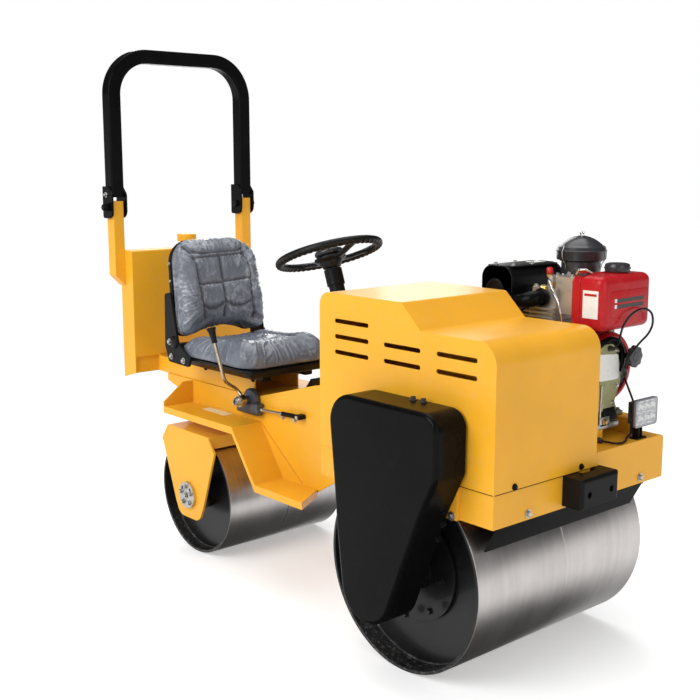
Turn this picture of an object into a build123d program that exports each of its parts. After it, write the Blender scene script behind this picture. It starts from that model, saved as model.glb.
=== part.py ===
"""A small ride-on road roller: two steel drums, an open diesel engine and a driver's station.

Units are millimetres. +X is the way the roller drives, +Y its left side, +Z up, and z = 0 is the
ground under the drums. The origin is the middle of the whole machine's footprint.
"""
import os
from math import cos, pi, radians, sin, tan

from build123d import *

os.makedirs("parts", exist_ok=True)

# ---------------------------------------------------------------- driving dimensions
FRONT_X = 619.0  # front drum's axle
CENTRE_Y = 51.0  # the plane midway between the drums' ends
WHEELBASE = 1136.0
REAR_X = FRONT_X - WHEELBASE

FRONT_DRUM_R = 280.0
FRONT_DRUM_WIDTH = 690.0
REAR_DRUM_R = 212.5
REAR_DRUM_WIDTH = 500.0
DRUM_WALL = 10.0
BULKHEAD = 8.0
FRONT_RECESS = 62.0  # from the rim to the welded bulkhead
REAR_RECESS = 40.0
RIM_BEVEL = 4.0
AXLE_R = 30.0

# front frame: a rectangular ring of folded plate above the front drum
FRAME_HALF_WIDTH = 357.0
FRAME_PLATE = 6.0
FRAME_FRONT = FRONT_X + 331.0
FRAME_REAR = FRONT_X - 317.0
FRAME_BOTTOM = 480.0
FRAME_TOP = 603.0
BEAM_DEPTH = 26.0

# hood over the drive, on the right half of the front frame
HOOD_RIGHT = CENTRE_Y - FRAME_HALF_WIDTH
HOOD_LEFT = CENTRE_Y + 43.0
HOOD_SHEET = 3.0
HOOD_BOTTOM = 568.0
HOOD_STEP = 938.0  # top of the low front part
HOOD_TOP = 1005.0

# chain case on the right side
CASE_PAD = 12.0  # plate between the frame and the case
CASE_THICK = 103.0

# narrow rear frame over the rear drum
NECK_HALF = 150.0
NECK_PLATE = 6.0
NECK_REAR = FRONT_X - 1460.0
DECK_TOP = 580.0
NECK_FLOOR = 470.0

# steps on both sides of the rear frame
STEP_OUT = 122.0
STEP_PLATE = 5.0
STEP_LIP = 24.0
UPPER_TREAD = 500.0
LOWER_TREAD = 331.0
STEP_REAR = FRONT_X - 1298.0
RISER_TOP = FRONT_X - 880.0
RISER_FOOT = FRONT_X - 757.0
STEP_FRONT = FRONT_X - 512.0
STEP_FRONT_INNER = FRONT_X - 587.0

# seat
SEAT_Y = CENTRE_Y - 90.0
BASE_Y = CENTRE_Y - 50.0
BASE_HALF = 94.0
BASE_TOP = DECK_TOP + 58.0
BASE_FRONT = FRONT_X - 923.0
SEAT_REAR = FRONT_X - 1270.0
SEAT_FRONT = FRONT_X - 800.0
SEAT_HALF = 178.0

# water tank and roll-over hoop
TANK_Y = CENTRE_Y + 17.0
TANK_HALF = 265.0
TANK_FRONT = FRONT_X - 1524.0
TANK_REAR = FRONT_X - 1606.0
TANK_TOP = 1036.0
TANK_BOTTOM = 640.0
POST_WIDTH = 40.0
POST_DEPTH = 48.0
POST_X = FRONT_X - 1598.0
POST_TOP = 1215.0
FOLD_Z = 1193.0
HOOP_TUBE = 50.0
HOOP_HALF = 285.0  # tube centre line from the hoop's middle
HOOP_TOP = 1758.0
HOOP_BEND = 140.0  # centre-line radius of the two bends
EAR = 6.0

# rear drum's yoke
YOKE_PLATE = 8.0
YOKE_HALF = 278.0
YOKE_TOP = 440.0
KINGPIN_R = 34.0

# steering column
COLUMN_TILT = radians(20.0)
COLUMN_FOOT_X = FRONT_X - 416.0
WHEEL_R = 170.0
WHEEL_CENTRE_Z = 1075.0


# ---------------------------------------------------------------- small helpers
def side_plane(y):
    """The plane at the given Y, seen from the right: local x is +X, local y is +Z."""
    return Plane.XZ.offset(-y)


def block(x_range, y_range, z_range, mode=Mode.ADD):
    """A box between three pairs of limits."""
    middle = [(low + high) / 2 for low, high in (x_range, y_range, z_range)]
    size = [high - low for low, high in (x_range, y_range, z_range)]
    with Locations(tuple(middle)):
        Box(*size, mode=mode)


def side_plate(outline, left, thickness, mode=Mode.ADD):
    """A plate with an outline of (x, z) corners, from its left face towards the right."""
    with BuildSketch(side_plane(left)) as profile:
        with BuildLine():
            Polyline(*outline, close=True)
        make_face()
    extrude(profile.sketch, amount=thickness, mode=mode)


def rounded_side_plate(outline, radii, left, thickness, mode=Mode.ADD):
    """A side plate whose (x, z) corners have the given radii."""
    with BuildSketch(side_plane(left)) as profile:
        with BuildLine():
            FilletPolyline(*outline, radius=radii, close=True)
        make_face()
    extrude(profile.sketch, amount=thickness, mode=mode)


def across(x, z, radius, y_range, mode=Mode.ADD):
    """A cylinder whose axis is along Y."""
    with Locations((x, sum(y_range) / 2, z)):
        Cylinder(radius, y_range[1] - y_range[0], rotation=(90, 0, 0), mode=mode)


def finish(builder, label):
    """Label one finished piece and write it to its own file."""
    builder.part.label = label
    export_step(builder.part, f"parts/{label}.step")


# ---------------------------------------------------------------- front frame
left_face = CENTRE_Y + FRAME_HALF_WIDTH
right_face = CENTRE_Y - FRAME_HALF_WIDTH
with BuildPart() as front_frame:
    for outer in (left_face, right_face + FRAME_PLATE):
        side_plate([(FRAME_REAR, FRAME_BOTTOM), (FRAME_FRONT, FRAME_BOTTOM),
                    (FRAME_FRONT, FRAME_TOP), (FRAME_REAR, FRAME_TOP)], outer, FRAME_PLATE)
    for low in (FRAME_REAR, FRAME_FRONT - BEAM_DEPTH):
        block((low, low + BEAM_DEPTH), (right_face, left_face), (FRAME_BOTTOM, FRAME_TOP))
    block((FRAME_REAR, FRAME_FRONT), (right_face, left_face), (FRAME_TOP - FRAME_PLATE, FRAME_TOP))
    corner = front_frame.edges().filter_by(Axis.X).group_by(Axis.Z)[-1].sort_by(Axis.Y)[-1]
    fillet(corner, 14)
    # pad that carries the chain case on the right side plate
    block((FRONT_X - 150, FRONT_X + 222), (right_face - CASE_PAD, right_face), (FRAME_BOTTOM, HOOD_BOTTOM - 1))
finish(front_frame, "front_frame")

# ---------------------------------------------------------------- rear frame
neck_right = CENTRE_Y - NECK_HALF
neck_left = CENTRE_Y + NECK_HALF
neck_side = [
    (NECK_REAR, DECK_TOP), (NECK_REAR, 556), (FRONT_X - 1397, 538), (FRONT_X - 1330, NECK_FLOOR),
    (RISER_TOP + 20, NECK_FLOOR), (RISER_FOOT + 40, LOWER_TREAD - 20), (STEP_FRONT_INNER, LOWER_TREAD - 10),
    (FRAME_REAR, FRAME_BOTTOM + 2), (FRAME_REAR, 690), (FRONT_X - 520, 683), (FRONT_X - 600, 665),
    (FRONT_X - 870, 590), (FRONT_X - 905, DECK_TOP),
]
with BuildPart() as rear_frame:
    for outer in (neck_left, neck_right + NECK_PLATE):
        side_plate(neck_side, outer, NECK_PLATE)
    block((NECK_REAR, FRAME_REAR), (neck_right, neck_left), (DECK_TOP - NECK_PLATE, DECK_TOP))
    block((FRONT_X - 1330, RISER_TOP + 20), (neck_right, neck_left), (NECK_FLOOR, NECK_FLOOR + NECK_PLATE))
    # the boss that holds the kingpin
    with Locations((REAR_X, CENTRE_Y, (NECK_FLOOR + DECK_TOP) / 2)):
        Cylinder(62, DECK_TOP - NECK_FLOOR - 2)
        Cylinder(KINGPIN_R, DECK_TOP - NECK_FLOOR - 2, mode=Mode.SUBTRACT)
    with Locations((REAR_X, CENTRE_Y, NECK_FLOOR + 3)):
        Cylinder(KINGPIN_R, 12, mode=Mode.SUBTRACT)
finish(rear_frame, "rear_frame")

# ---------------------------------------------------------------- steps
step_line = [
    (STEP_REAR, UPPER_TREAD), (RISER_TOP, UPPER_TREAD), (RISER_FOOT, LOWER_TREAD),
    (STEP_FRONT, LOWER_TREAD),
]
for name, inner, way in (("right_steps", neck_right, -1), ("left_steps", neck_left, 1)):
    outer = inner + way * STEP_OUT
    near, far = sorted((inner, outer))
    lip_left = far if way > 0 else near + STEP_PLATE
    with BuildPart() as steps:
        under = [(x, z - STEP_PLATE) for x, z in step_line[::-1]]
        side_plate(step_line + under, far, STEP_OUT)
        # folded lip along the outer edge
        lip = [(x, z - STEP_LIP) for x, z in step_line[::-1]]
        side_plate(step_line + lip, lip_left, STEP_PLATE)
        # triangular gussets at the rear end and inside the riser
        with BuildSketch(Plane.YZ.offset(STEP_REAR)):
            with BuildLine():
                Polyline((inner, UPPER_TREAD - STEP_PLATE), (inner, 578), (inner + way * 40, 578),
                         (outer, UPPER_TREAD + 16), (outer, UPPER_TREAD - STEP_PLATE), close=True)
            make_face()
        extrude(amount=STEP_PLATE)
        side_plate([(RISER_TOP + 4, UPPER_TREAD - 4), (RISER_FOOT, LOWER_TREAD - 2),
                    (FRONT_X - 655, LOWER_TREAD - 2)], inner + max(0, way) * STEP_PLATE, STEP_PLATE)
        # the lower tread's front corner is cut back towards the frame
        with BuildSketch(Plane.XY.offset(LOWER_TREAD - STEP_LIP - 20)):
            with BuildLine():
                Polyline((STEP_FRONT_INNER, inner), (STEP_FRONT, outer), (STEP_FRONT + 60, outer),
                         (STEP_FRONT + 60, inner), close=True)
            make_face()
        extrude(amount=STEP_LIP + 60, mode=Mode.SUBTRACT)
        # lip under the slanted front edge
        with BuildSketch(Plane.XY.offset(LOWER_TREAD - STEP_LIP)):
            with BuildLine():
                Polyline((STEP_FRONT_INNER, inner), (STEP_FRONT, outer), (STEP_FRONT - 6, outer),
                         (STEP_FRONT_INNER - 6, inner), close=True)
            make_face()
        extrude(amount=STEP_LIP)
    finish(steps, name)

# ---------------------------------------------------------------- hood
hood_outline = [  # (x, z, corner radius)
    (FRAME_REAR, HOOD_BOTTOM, 1), (FRAME_REAR, HOOD_TOP, 38), (FRONT_X + 9, HOOD_TOP, 12),
    (FRONT_X + 80, HOOD_STEP, 12), (FRAME_FRONT + HOOD_SHEET, HOOD_STEP, 58),
    (FRAME_FRONT + HOOD_SHEET, HOOD_BOTTOM, 1),
]
hood_slots = [  # (rear x, front x, z) of each cooling slot
    (-252, -115, 930), (-252, -115, 887), (-252, -115, 844),
    (-55, 80, 888), (-55, 80, 845),
    (137, 273, 889), (137, 273, 845),
]
with BuildPart() as hood:
    rounded_side_plate([(x, z) for x, z, r in hood_outline], [r for x, z, r in hood_outline],
                       HOOD_LEFT, HOOD_LEFT - HOOD_RIGHT + HOOD_SHEET)
    inner = [
        (FRAME_REAR + HOOD_SHEET, HOOD_BOTTOM - 20), (FRAME_REAR + HOOD_SHEET, HOOD_TOP - HOOD_SHEET),
        (FRONT_X + 8, HOOD_TOP - HOOD_SHEET), (FRONT_X + 79, HOOD_STEP - HOOD_SHEET),
        (FRAME_FRONT, HOOD_STEP - HOOD_SHEET), (FRAME_FRONT, HOOD_BOTTOM - 20),
    ]
    rounded_side_plate(inner, [1, 35, 12, 12, 55, 1], HOOD_LEFT - HOOD_SHEET,
                       HOOD_LEFT - HOOD_RIGHT - HOOD_SHEET, mode=Mode.SUBTRACT)
    for rear, front, z in hood_slots:
        with BuildSketch(side_plane(HOOD_RIGHT + 20)):
            with Locations((FRONT_X + (rear + front) / 2, z)):
                SlotOverall(front - rear, 12)
        extrude(amount=40, mode=Mode.SUBTRACT)
    # only the right and front sheets reach down outside the frame
    block((FRAME_REAR - 1, FRAME_FRONT), (HOOD_RIGHT, HOOD_LEFT + 1), (HOOD_BOTTOM - 1, FRAME_TOP),
          mode=Mode.SUBTRACT)
finish(hood, "hood")

# ---------------------------------------------------------------- chain case
case_left = right_face - CASE_PAD
case_outline = [  # (x, z, corner radius)
    (-146, 671, 40), (-131, 535, 60), (-120, 412, 90), (-88, 166, 92), (60, 166, 92), (193, 496, 60),
    (248, 606, 30), (249, 766, 48), (-156, 766, 77),
]
with BuildPart() as chain_case:
    rounded_side_plate([(FRONT_X + x, z) for x, z, r in case_outline], [r for x, z, r in case_outline],
                       case_left, CASE_THICK)
    fillet(chain_case.faces().sort_by(Axis.Y)[0].edges(), 12)
finish(chain_case, "chain_case")

# ---------------------------------------------------------------- bumper, scraper, lamp
BUMPER_DEPTH = 63.0
bumper_sides = (CENTRE_Y - 93, CENTRE_Y + 62)
with BuildPart() as bumper:
    block((FRAME_FRONT, FRAME_FRONT + BUMPER_DEPTH), bumper_sides, (FRAME_BOTTOM + 8, FRAME_BOTTOM + 87))
    fillet(bumper.faces().sort_by(Axis.X)[-1].edges(), 10)
    block((FRAME_FRONT - 1, FRAME_FRONT + 18), (CENTRE_Y - 34, CENTRE_Y + 22),
          (FRAME_BOTTOM + 73, FRAME_BOTTOM + 90), mode=Mode.SUBTRACT)
    # two sunk bolt holes
    for y in (CENTRE_Y - 62, CENTRE_Y + 30):
        with Locations((FRAME_FRONT + BUMPER_DEPTH, y, FRAME_BOTTOM + 44)):
            Cylinder(8.5, 50, rotation=(0, 90, 0), mode=Mode.SUBTRACT)
finish(bumper, "bumper")

with BuildPart() as front_scraper:
    scraper_top = FRAME_BOTTOM - 1
    block((FRAME_FRONT - 70, FRAME_FRONT - 6), (CENTRE_Y - 330, CENTRE_Y + 276), (scraper_top - 6, scraper_top))
    side_plate([(FRAME_FRONT - 6, scraper_top), (FRAME_FRONT - 12, scraper_top), (FRAME_FRONT - 52, scraper_top - 72),
                (FRAME_FRONT - 46, scraper_top - 72)], CENTRE_Y + 276, 606)
finish(front_scraper, "front_scraper")

LAMP_FACE = FRONT_X + 318.0
LAMP_Y = CENTRE_Y + 290.0
lamp_foot = (LAMP_Y - 50, LAMP_Y - 6)
with BuildPart() as lamp_bracket:
    block((LAMP_FACE - 20, LAMP_FACE + 6), lamp_foot, (FRAME_TOP, FRAME_TOP + 4))
    for near in (LAMP_Y - 36, LAMP_Y - 22):
        block((LAMP_FACE - 20, LAMP_FACE), (near, near + 4), (FRAME_TOP, 633))
finish(lamp_bracket, "lamp_bracket")

with BuildPart() as lamp:
    block((LAMP_FACE - 20, LAMP_FACE), (LAMP_Y - 52, LAMP_Y + 52), (634, 712))
    fillet(lamp.edges().filter_by(Axis.X), 6)
    for k in range(6):
        fin = LAMP_Y - 42.5 + 17 * k
        block((LAMP_FACE - 33, LAMP_FACE - 20), (fin - 2, fin + 2), (640, 706))
    block((LAMP_FACE - 16, LAMP_FACE - 4), (LAMP_Y - 31.5, LAMP_Y - 22.5), (613, 635))
finish(lamp, "lamp")

# ---------------------------------------------------------------- drums
drum_table = [  # (name, axle x, radius, width, rim to bulkhead, hub flange, hub boss, boss reach, half seam)
    ("front_drum", FRONT_X, FRONT_DRUM_R, FRONT_DRUM_WIDTH, FRONT_RECESS, 150.0, 62.0, 40.0, 0.0),
    ("rear_drum", REAR_X, REAR_DRUM_R, REAR_DRUM_WIDTH, REAR_RECESS, 58.0, 35.0, 28.0, 1.5),
]
for name, axle_x, radius, width, recess, flange_r, boss_r, reach, seam in drum_table:
    half = width / 2
    ends = (CENTRE_Y - half, CENTRE_Y + half)
    with BuildPart() as shell:
        across(axle_x, radius, radius, ends)
        chamfer(shell.edges().filter_by(GeomType.CIRCLE), RIM_BEVEL)
        across(axle_x, radius, radius - DRUM_WALL, (ends[0] - 1, ends[1] + 1), mode=Mode.SUBTRACT)
        if seam:
            with Locations((axle_x, CENTRE_Y, radius)):
                Cylinder(radius + 1, 2 * seam, rotation=(90, 0, 0), mode=Mode.SUBTRACT)
                Cylinder(radius - 2, 2 * seam, rotation=(90, 0, 0))
                Cylinder(radius - DRUM_WALL, 2 * seam, rotation=(90, 0, 0), mode=Mode.SUBTRACT)
    finish(shell, f"{name}_shell")
    with BuildPart() as bulkheads:
        for side in (-1, 1):
            plane = CENTRE_Y + side * (half - recess)
            span = sorted((plane, plane - side * BULKHEAD))
            across(axle_x, radius, radius - DRUM_WALL, span)
            across(axle_x, radius, AXLE_R + 0.05, span, mode=Mode.SUBTRACT)
    finish(bulkheads, f"{name}_bulkheads")
    with BuildPart() as hubs:
        for side in (-1, 1):
            plane = CENTRE_Y + side * (half - recess)
            across(axle_x, radius, flange_r, sorted((plane, plane + side * 12)))
            across(axle_x, radius, boss_r, sorted((plane + side * 12, plane + side * reach)))
            across(axle_x, radius, AXLE_R + 0.05, sorted((plane - side, plane + side * (reach + 1))),
                   mode=Mode.SUBTRACT)
    finish(hubs, f"{name}_hubs")

# what carries the front drum: a bearing on each side and a plate arm on the left
front_bearing_span = FRONT_DRUM_WIDTH / 2 - FRONT_RECESS
with BuildPart() as front_axle:
    across(FRONT_X, FRONT_DRUM_R, AXLE_R, (case_left, left_face + 13))
finish(front_axle, "front_axle")

with BuildPart() as left_arm:
    rounded_side_plate([(FRONT_X - 190, FRAME_TOP - 14), (FRONT_X - 190, 500), (FRONT_X - 84, 196),
                        (FRONT_X + 84, 196), (FRONT_X + 190, 500), (FRONT_X + 190, FRAME_TOP - 14)],
                       [12, 20, 70, 70, 20, 12], left_face + 9, 9)
    across(FRONT_X, FRONT_DRUM_R, 52, (CENTRE_Y + front_bearing_span + 46, left_face))
    across(FRONT_X, FRONT_DRUM_R, AXLE_R, (CENTRE_Y, left_face + 20), mode=Mode.SUBTRACT)
finish(left_arm, "left_arm")

with BuildPart() as right_bearing:
    across(FRONT_X, FRONT_DRUM_R, 52, (case_left, CENTRE_Y - front_bearing_span - 46))
    across(FRONT_X, FRONT_DRUM_R, AXLE_R, (case_left - 1, CENTRE_Y), mode=Mode.SUBTRACT)
finish(right_bearing, "right_bearing")

# ---------------------------------------------------------------- yoke of the rear drum
yoke_side = [  # (x from the axle, z, corner radius)
    (-161, 378, 6), (-123, 432, 6), (129, 432, 6), (161, 389, 6), (86, 180, 60), (60, 128, 40), (-60, 128, 40),
    (-86, 180, 60),
]
yoke_right = CENTRE_Y - YOKE_HALF
yoke_left = CENTRE_Y + YOKE_HALF
with BuildPart() as yoke:
    for outer in (yoke_left, yoke_right + YOKE_PLATE):
        rounded_side_plate([(REAR_X + x, z) for x, z, r in yoke_side], [r for x, z, r in yoke_side],
                           outer, YOKE_PLATE)
    block((REAR_X - 124, REAR_X + 130), (yoke_right, yoke_left), (YOKE_TOP - YOKE_PLATE, YOKE_TOP))
    block((REAR_X + 122, REAR_X + 130), (yoke_right, yoke_left), (398, YOKE_TOP))
    block((REAR_X - 161, REAR_X - 153), (yoke_right, yoke_left), (378, 400))
    side_plate([(REAR_X - 161, 378), (REAR_X - 124, 432), (REAR_X - 124, YOKE_TOP), (REAR_X - 128, YOKE_TOP),
                (REAR_X - 167, 384)], yoke_left, 2 * YOKE_HALF)
    across(REAR_X, REAR_DRUM_R, AXLE_R, (yoke_right - 1, yoke_left + 1), mode=Mode.SUBTRACT)
finish(yoke, "yoke")

with BuildPart() as kingpin:
    with BuildSketch(Plane.XY.offset(YOKE_TOP)):
        Circle(70)
    extrude(amount=NECK_FLOOR - YOKE_TOP - 5)
    with BuildSketch(Plane.XY.offset(YOKE_TOP)):
        Circle(KINGPIN_R - 0.05)
    extrude(amount=DECK_TOP - NECK_PLATE - YOKE_TOP - 2)
kingpin.part = Pos(REAR_X, CENTRE_Y, 0) * kingpin.part
finish(kingpin, "kingpin")

with BuildPart() as rear_axle:
    across(REAR_X, REAR_DRUM_R, AXLE_R, (yoke_right, yoke_left))
finish(rear_axle, "rear_axle")

with BuildPart() as axle_flanges:
    for side in (-1, 1):
        face = CENTRE_Y + side * YOKE_HALF
        span = sorted((face, face + side * 12))
        across(REAR_X, REAR_DRUM_R, 46, span)
        across(REAR_X, REAR_DRUM_R, 11, sorted((face - side, face + side * 13)), mode=Mode.SUBTRACT)
        for quarter in range(4):
            angle = radians(45 + 90 * quarter)
            across(REAR_X + 33 * cos(angle), REAR_DRUM_R + 33 * sin(angle), 5.5,
                   sorted((face - side, face + side * 13)), mode=Mode.SUBTRACT)
finish(axle_flanges, "axle_flanges")

with BuildPart() as rear_scraper:
    block((REAR_X - 190, REAR_X - 184), (CENTRE_Y - 245, CENTRE_Y + 245), (330, 392))
    for side in (-1, 1):
        side_plate([(REAR_X - 185, 384), (REAR_X - 167.1, 384), (REAR_X - 162.25, 391), (REAR_X - 185, 391)],
                   CENTRE_Y + side * 180 + 18, 36)
finish(rear_scraper, "rear_scraper")

# ---------------------------------------------------------------- seat base, rails and seat
with BuildPart() as seat_base:
    block((TANK_FRONT, BASE_FRONT), (BASE_Y - BASE_HALF, BASE_Y + BASE_HALF), (DECK_TOP, BASE_TOP))
    block((TANK_FRONT - 1, BASE_FRONT + 1), (BASE_Y - BASE_HALF + 5, BASE_Y + BASE_HALF - 5),
          (DECK_TOP + 6, BASE_TOP + 1), mode=Mode.SUBTRACT)
    block((BASE_FRONT, BASE_FRONT + 40), (BASE_Y - BASE_HALF, BASE_Y + BASE_HALF), (DECK_TOP, DECK_TOP + 6))
finish(seat_base, "seat_base")

RAIL_TOP = BASE_TOP + 26
BACK_FOOT = (SEAT_REAR + 52, RAIL_TOP + 98)
BACK_LEAN = radians(9.0)
BACK_HEIGHT = 335.0
with BuildPart() as seat_rails:
    for side in (-1, 1):
        y = BASE_Y + side * (BASE_HALF - 6)
        block((SEAT_REAR + 30, BASE_FRONT + 62), (y - 17, y + 17), (BASE_TOP, RAIL_TOP))
    fillet(seat_rails.edges().filter_by(Axis.X), 4)
finish(seat_rails, "seat_rails")



def seat_plan(half, corner):
    """Trim the seat to its plan: two rounded corners at the front."""
    with BuildSketch(Plane.XY.offset(RAIL_TOP - 50)) as plan:
        with BuildLine():
            FilletPolyline((SEAT_REAR - 60, SEAT_Y - half), (SEAT_FRONT + 16, SEAT_Y - half),
                           (SEAT_FRONT + 16, SEAT_Y + half), (SEAT_REAR - 60, SEAT_Y + half),
                           radius=[1, corner, corner, 1], close=True)
        make_face()
    extrude(plan.sketch, amount=300, mode=Mode.INTERSECT)


def back_shape(inset):
    """Trim the backrest to its front view: narrower and well rounded at the top."""
    foot, top = SEAT_HALF - 2 - inset, SEAT_HALF - 16 - inset
    low, high = BACK_FOOT[1] - 12, BACK_FOOT[1] + BACK_HEIGHT + 6 - inset
    with BuildSketch(Plane.YZ.offset(BACK_FOOT[0] - 200)) as front_view:
        with BuildLine():
            FilletPolyline((SEAT_Y - foot, low), (SEAT_Y + foot, low), (SEAT_Y + top, high), (SEAT_Y - top, high),
                           radius=[34, 34, 84 - inset, 84 - inset], close=True)
        make_face()
    extrude(front_view.sketch, amount=400, mode=Mode.INTERSECT)


pan_side = [  # (x, z, corner radius) of the seat shell's side
    (SEAT_FRONT - 6, RAIL_TOP, 12), (SEAT_FRONT + 4, RAIL_TOP + 30, 8), (SEAT_REAR + 92, RAIL_TOP + 30, 20),
    (SEAT_REAR + 40, RAIL_TOP + 66, 20), (SEAT_REAR + 4, RAIL_TOP + 66, 12), (SEAT_REAR + 30, RAIL_TOP, 30),
]
with BuildPart() as seat_pan:
    rounded_side_plate([(x, z) for x, z, r in pan_side], [r for x, z, r in pan_side],
                       SEAT_Y + SEAT_HALF - 8, 2 * SEAT_HALF - 16)
    # both lower edges are bevelled
    for side in (-1, 1):
        edge = SEAT_Y + side * (SEAT_HALF - 8)
        with BuildSketch(Plane.YZ.offset(SEAT_REAR)) as bevel:
            with BuildLine():
                Polyline((edge, RAIL_TOP + 22), (edge, RAIL_TOP), (edge - side * 22, RAIL_TOP), close=True)
            make_face()
        extrude(bevel.sketch, amount=SEAT_FRONT - SEAT_REAR, mode=Mode.SUBTRACT)
    seat_plan(SEAT_HALF - 8, 54)
finish(seat_pan, "seat_pan")

cushion_side = [
    (SEAT_REAR + 96, RAIL_TOP + 31), (SEAT_FRONT + 8, RAIL_TOP + 31), (SEAT_FRONT + 16, RAIL_TOP + 72),
    (SEAT_FRONT - 30, RAIL_TOP + 108), (SEAT_REAR + 150, RAIL_TOP + 92), (SEAT_REAR + 78, RAIL_TOP + 92),
]
with BuildPart() as seat_cushion:
    rounded_side_plate(cushion_side, [10, 14, 24, 30, 30, 16], SEAT_Y + SEAT_HALF, 2 * SEAT_HALF)
    seat_plan(SEAT_HALF, 60)
finish(seat_cushion, "seat_cushion")

def on_back(forward, up):
    """A point (x, z) in the leaning backrest's own directions."""
    return (BACK_FOOT[0] + forward * cos(BACK_LEAN) - up * sin(BACK_LEAN),
            BACK_FOOT[1] + up * cos(BACK_LEAN) + forward * sin(BACK_LEAN))


with BuildPart() as back_cushion:
    outline = [on_back(x, z) for x, z in ((0, 0), (72, 12), (86, 110), (62, BACK_HEIGHT - 20), (20, BACK_HEIGHT),
                                          (0, BACK_HEIGHT - 8))]
    rounded_side_plate(outline, [8, 26, 40, 20, 14, 6], SEAT_Y + SEAT_HALF, 2 * SEAT_HALF)
    back_shape(0)
finish(back_cushion, "back_cushion")

with BuildPart() as back_shell:
    outline = [on_back(x, z) for x, z in ((-1, -4), (-1, BACK_HEIGHT - 12), (-24, BACK_HEIGHT - 34),
                                          (-38, 120), (-24, -4))]
    rounded_side_plate(outline, [3, 6, 12, 30, 12], SEAT_Y + SEAT_HALF, 2 * SEAT_HALF)
    back_shape(5)
finish(back_shell, "back_shell")

with BuildPart() as recliners:
    for side in (-1, 1):
        left = SEAT_Y + side * (SEAT_HALF + 5) + 4
        rounded_side_plate([(SEAT_REAR + 26, RAIL_TOP + 6), (SEAT_REAR + 150, RAIL_TOP + 2),
                            (SEAT_REAR + 160, RAIL_TOP + 30), (SEAT_REAR + 84, RAIL_TOP + 78),
                            on_back(16, 150), on_back(-20, 150), (SEAT_REAR + 4, RAIL_TOP + 60)],
                           [10, 8, 8, 18, 12, 12, 20], left, 8)
finish(recliners, "recliners")

# ---------------------------------------------------------------- water tank and hoop
with BuildPart() as water_tank:
    block((TANK_REAR, TANK_FRONT), (TANK_Y - TANK_HALF, TANK_Y + TANK_HALF), (TANK_BOTTOM, TANK_TOP))
    fillet(water_tank.edges().filter_by(Axis.Y), 6)
    for left in (TANK_Y + TANK_HALF, TANK_Y - TANK_HALF + 5):
        side_plate([(TANK_FRONT, TANK_BOTTOM + 8), (TANK_FRONT, 583), (TANK_REAR, 560), (TANK_REAR, TANK_BOTTOM + 8)],
                   left, 5)
    block((TANK_REAR + 8, TANK_FRONT - 10), (TANK_Y - TANK_HALF, TANK_Y + TANK_HALF), (DECK_TOP + 1, TANK_BOTTOM + 2))
    block((TANK_FRONT - 12, TANK_FRONT), (BASE_Y - BASE_HALF, BASE_Y + BASE_HALF), (DECK_TOP + 1, TANK_BOTTOM + 2))
finish(water_tank, "water_tank")

with BuildPart() as filler_cap:
    with Locations((POST_X + 33, TANK_Y - 2, TANK_TOP + 11)):
        Cylinder(24, 22)
    with Locations((POST_X + 33, TANK_Y - 2, TANK_TOP + 36)):
        Cylinder(36, 28)
    fillet(filler_cap.edges().group_by(Axis.Z)[-1], 4)
finish(filler_cap, "filler_cap")

tank_sides = (TANK_Y - TANK_HALF, TANK_Y + TANK_HALF)
with BuildPart() as hoop_posts:
    for side, face in zip((-1, 1), tank_sides):
        outer = face + side * POST_WIDTH
        with BuildSketch(Plane.YZ.offset(POST_X - POST_DEPTH / 2)):
            with BuildLine():
                Polyline((face, 905), (outer, 945), (outer, POST_TOP), (face, POST_TOP), close=True)
            make_face()
        extrude(amount=POST_DEPTH)
    with Locations((POST_X, TANK_Y, FOLD_Z)):
        Cylinder(8, 4 * HOOP_HALF, rotation=(90, 0, 0), mode=Mode.SUBTRACT)
finish(hoop_posts, "hoop_posts")

with BuildPart() as rops_hoop:
    leg = HOOP_HALF
    top = HOOP_TOP - HOOP_TUBE / 2
    with BuildLine() as hoop_line:
        FilletPolyline((POST_X, TANK_Y - leg, POST_TOP + 14), (POST_X, TANK_Y - leg, top),
                       (POST_X, TANK_Y + leg, top), (POST_X, TANK_Y + leg, POST_TOP + 14), radius=HOOP_BEND)
    with BuildSketch(Plane.XY.offset(POST_TOP + 14)):
        with Locations((POST_X, TANK_Y - leg)):
            RectangleRounded(HOOP_TUBE, HOOP_TUBE, 5)
    sweep(path=hoop_line.line)
    for side in (-1, 1):
        for face in (-HOOP_TUBE / 2 - EAR, HOOP_TUBE / 2):
            left = TANK_Y + side * leg + face + EAR
            rounded_side_plate([(POST_X - 34, 1153), (POST_X + 34, 1153), (POST_X + 34, 1240),
                                (POST_X + 8, 1268), (POST_X - 34, 1268)], [10, 30, 12, 10, 3], left, EAR)
    with Locations((POST_X, TANK_Y, FOLD_Z)):
        Cylinder(8, 4 * HOOP_HALF, rotation=(90, 0, 0), mode=Mode.SUBTRACT)
finish(rops_hoop, "rops_hoop")

with BuildPart() as fold_pins:
    for side in (-1, 1):
        y = TANK_Y + side * HOOP_HALF
        across(POST_X, FOLD_Z, 7.95, (y - 42, y + 42))
        for end in (-1, 1):
            across(POST_X, FOLD_Z, 13, sorted((y + end * 32, y + end * 42)))
finish(fold_pins, "fold_pins")

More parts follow.
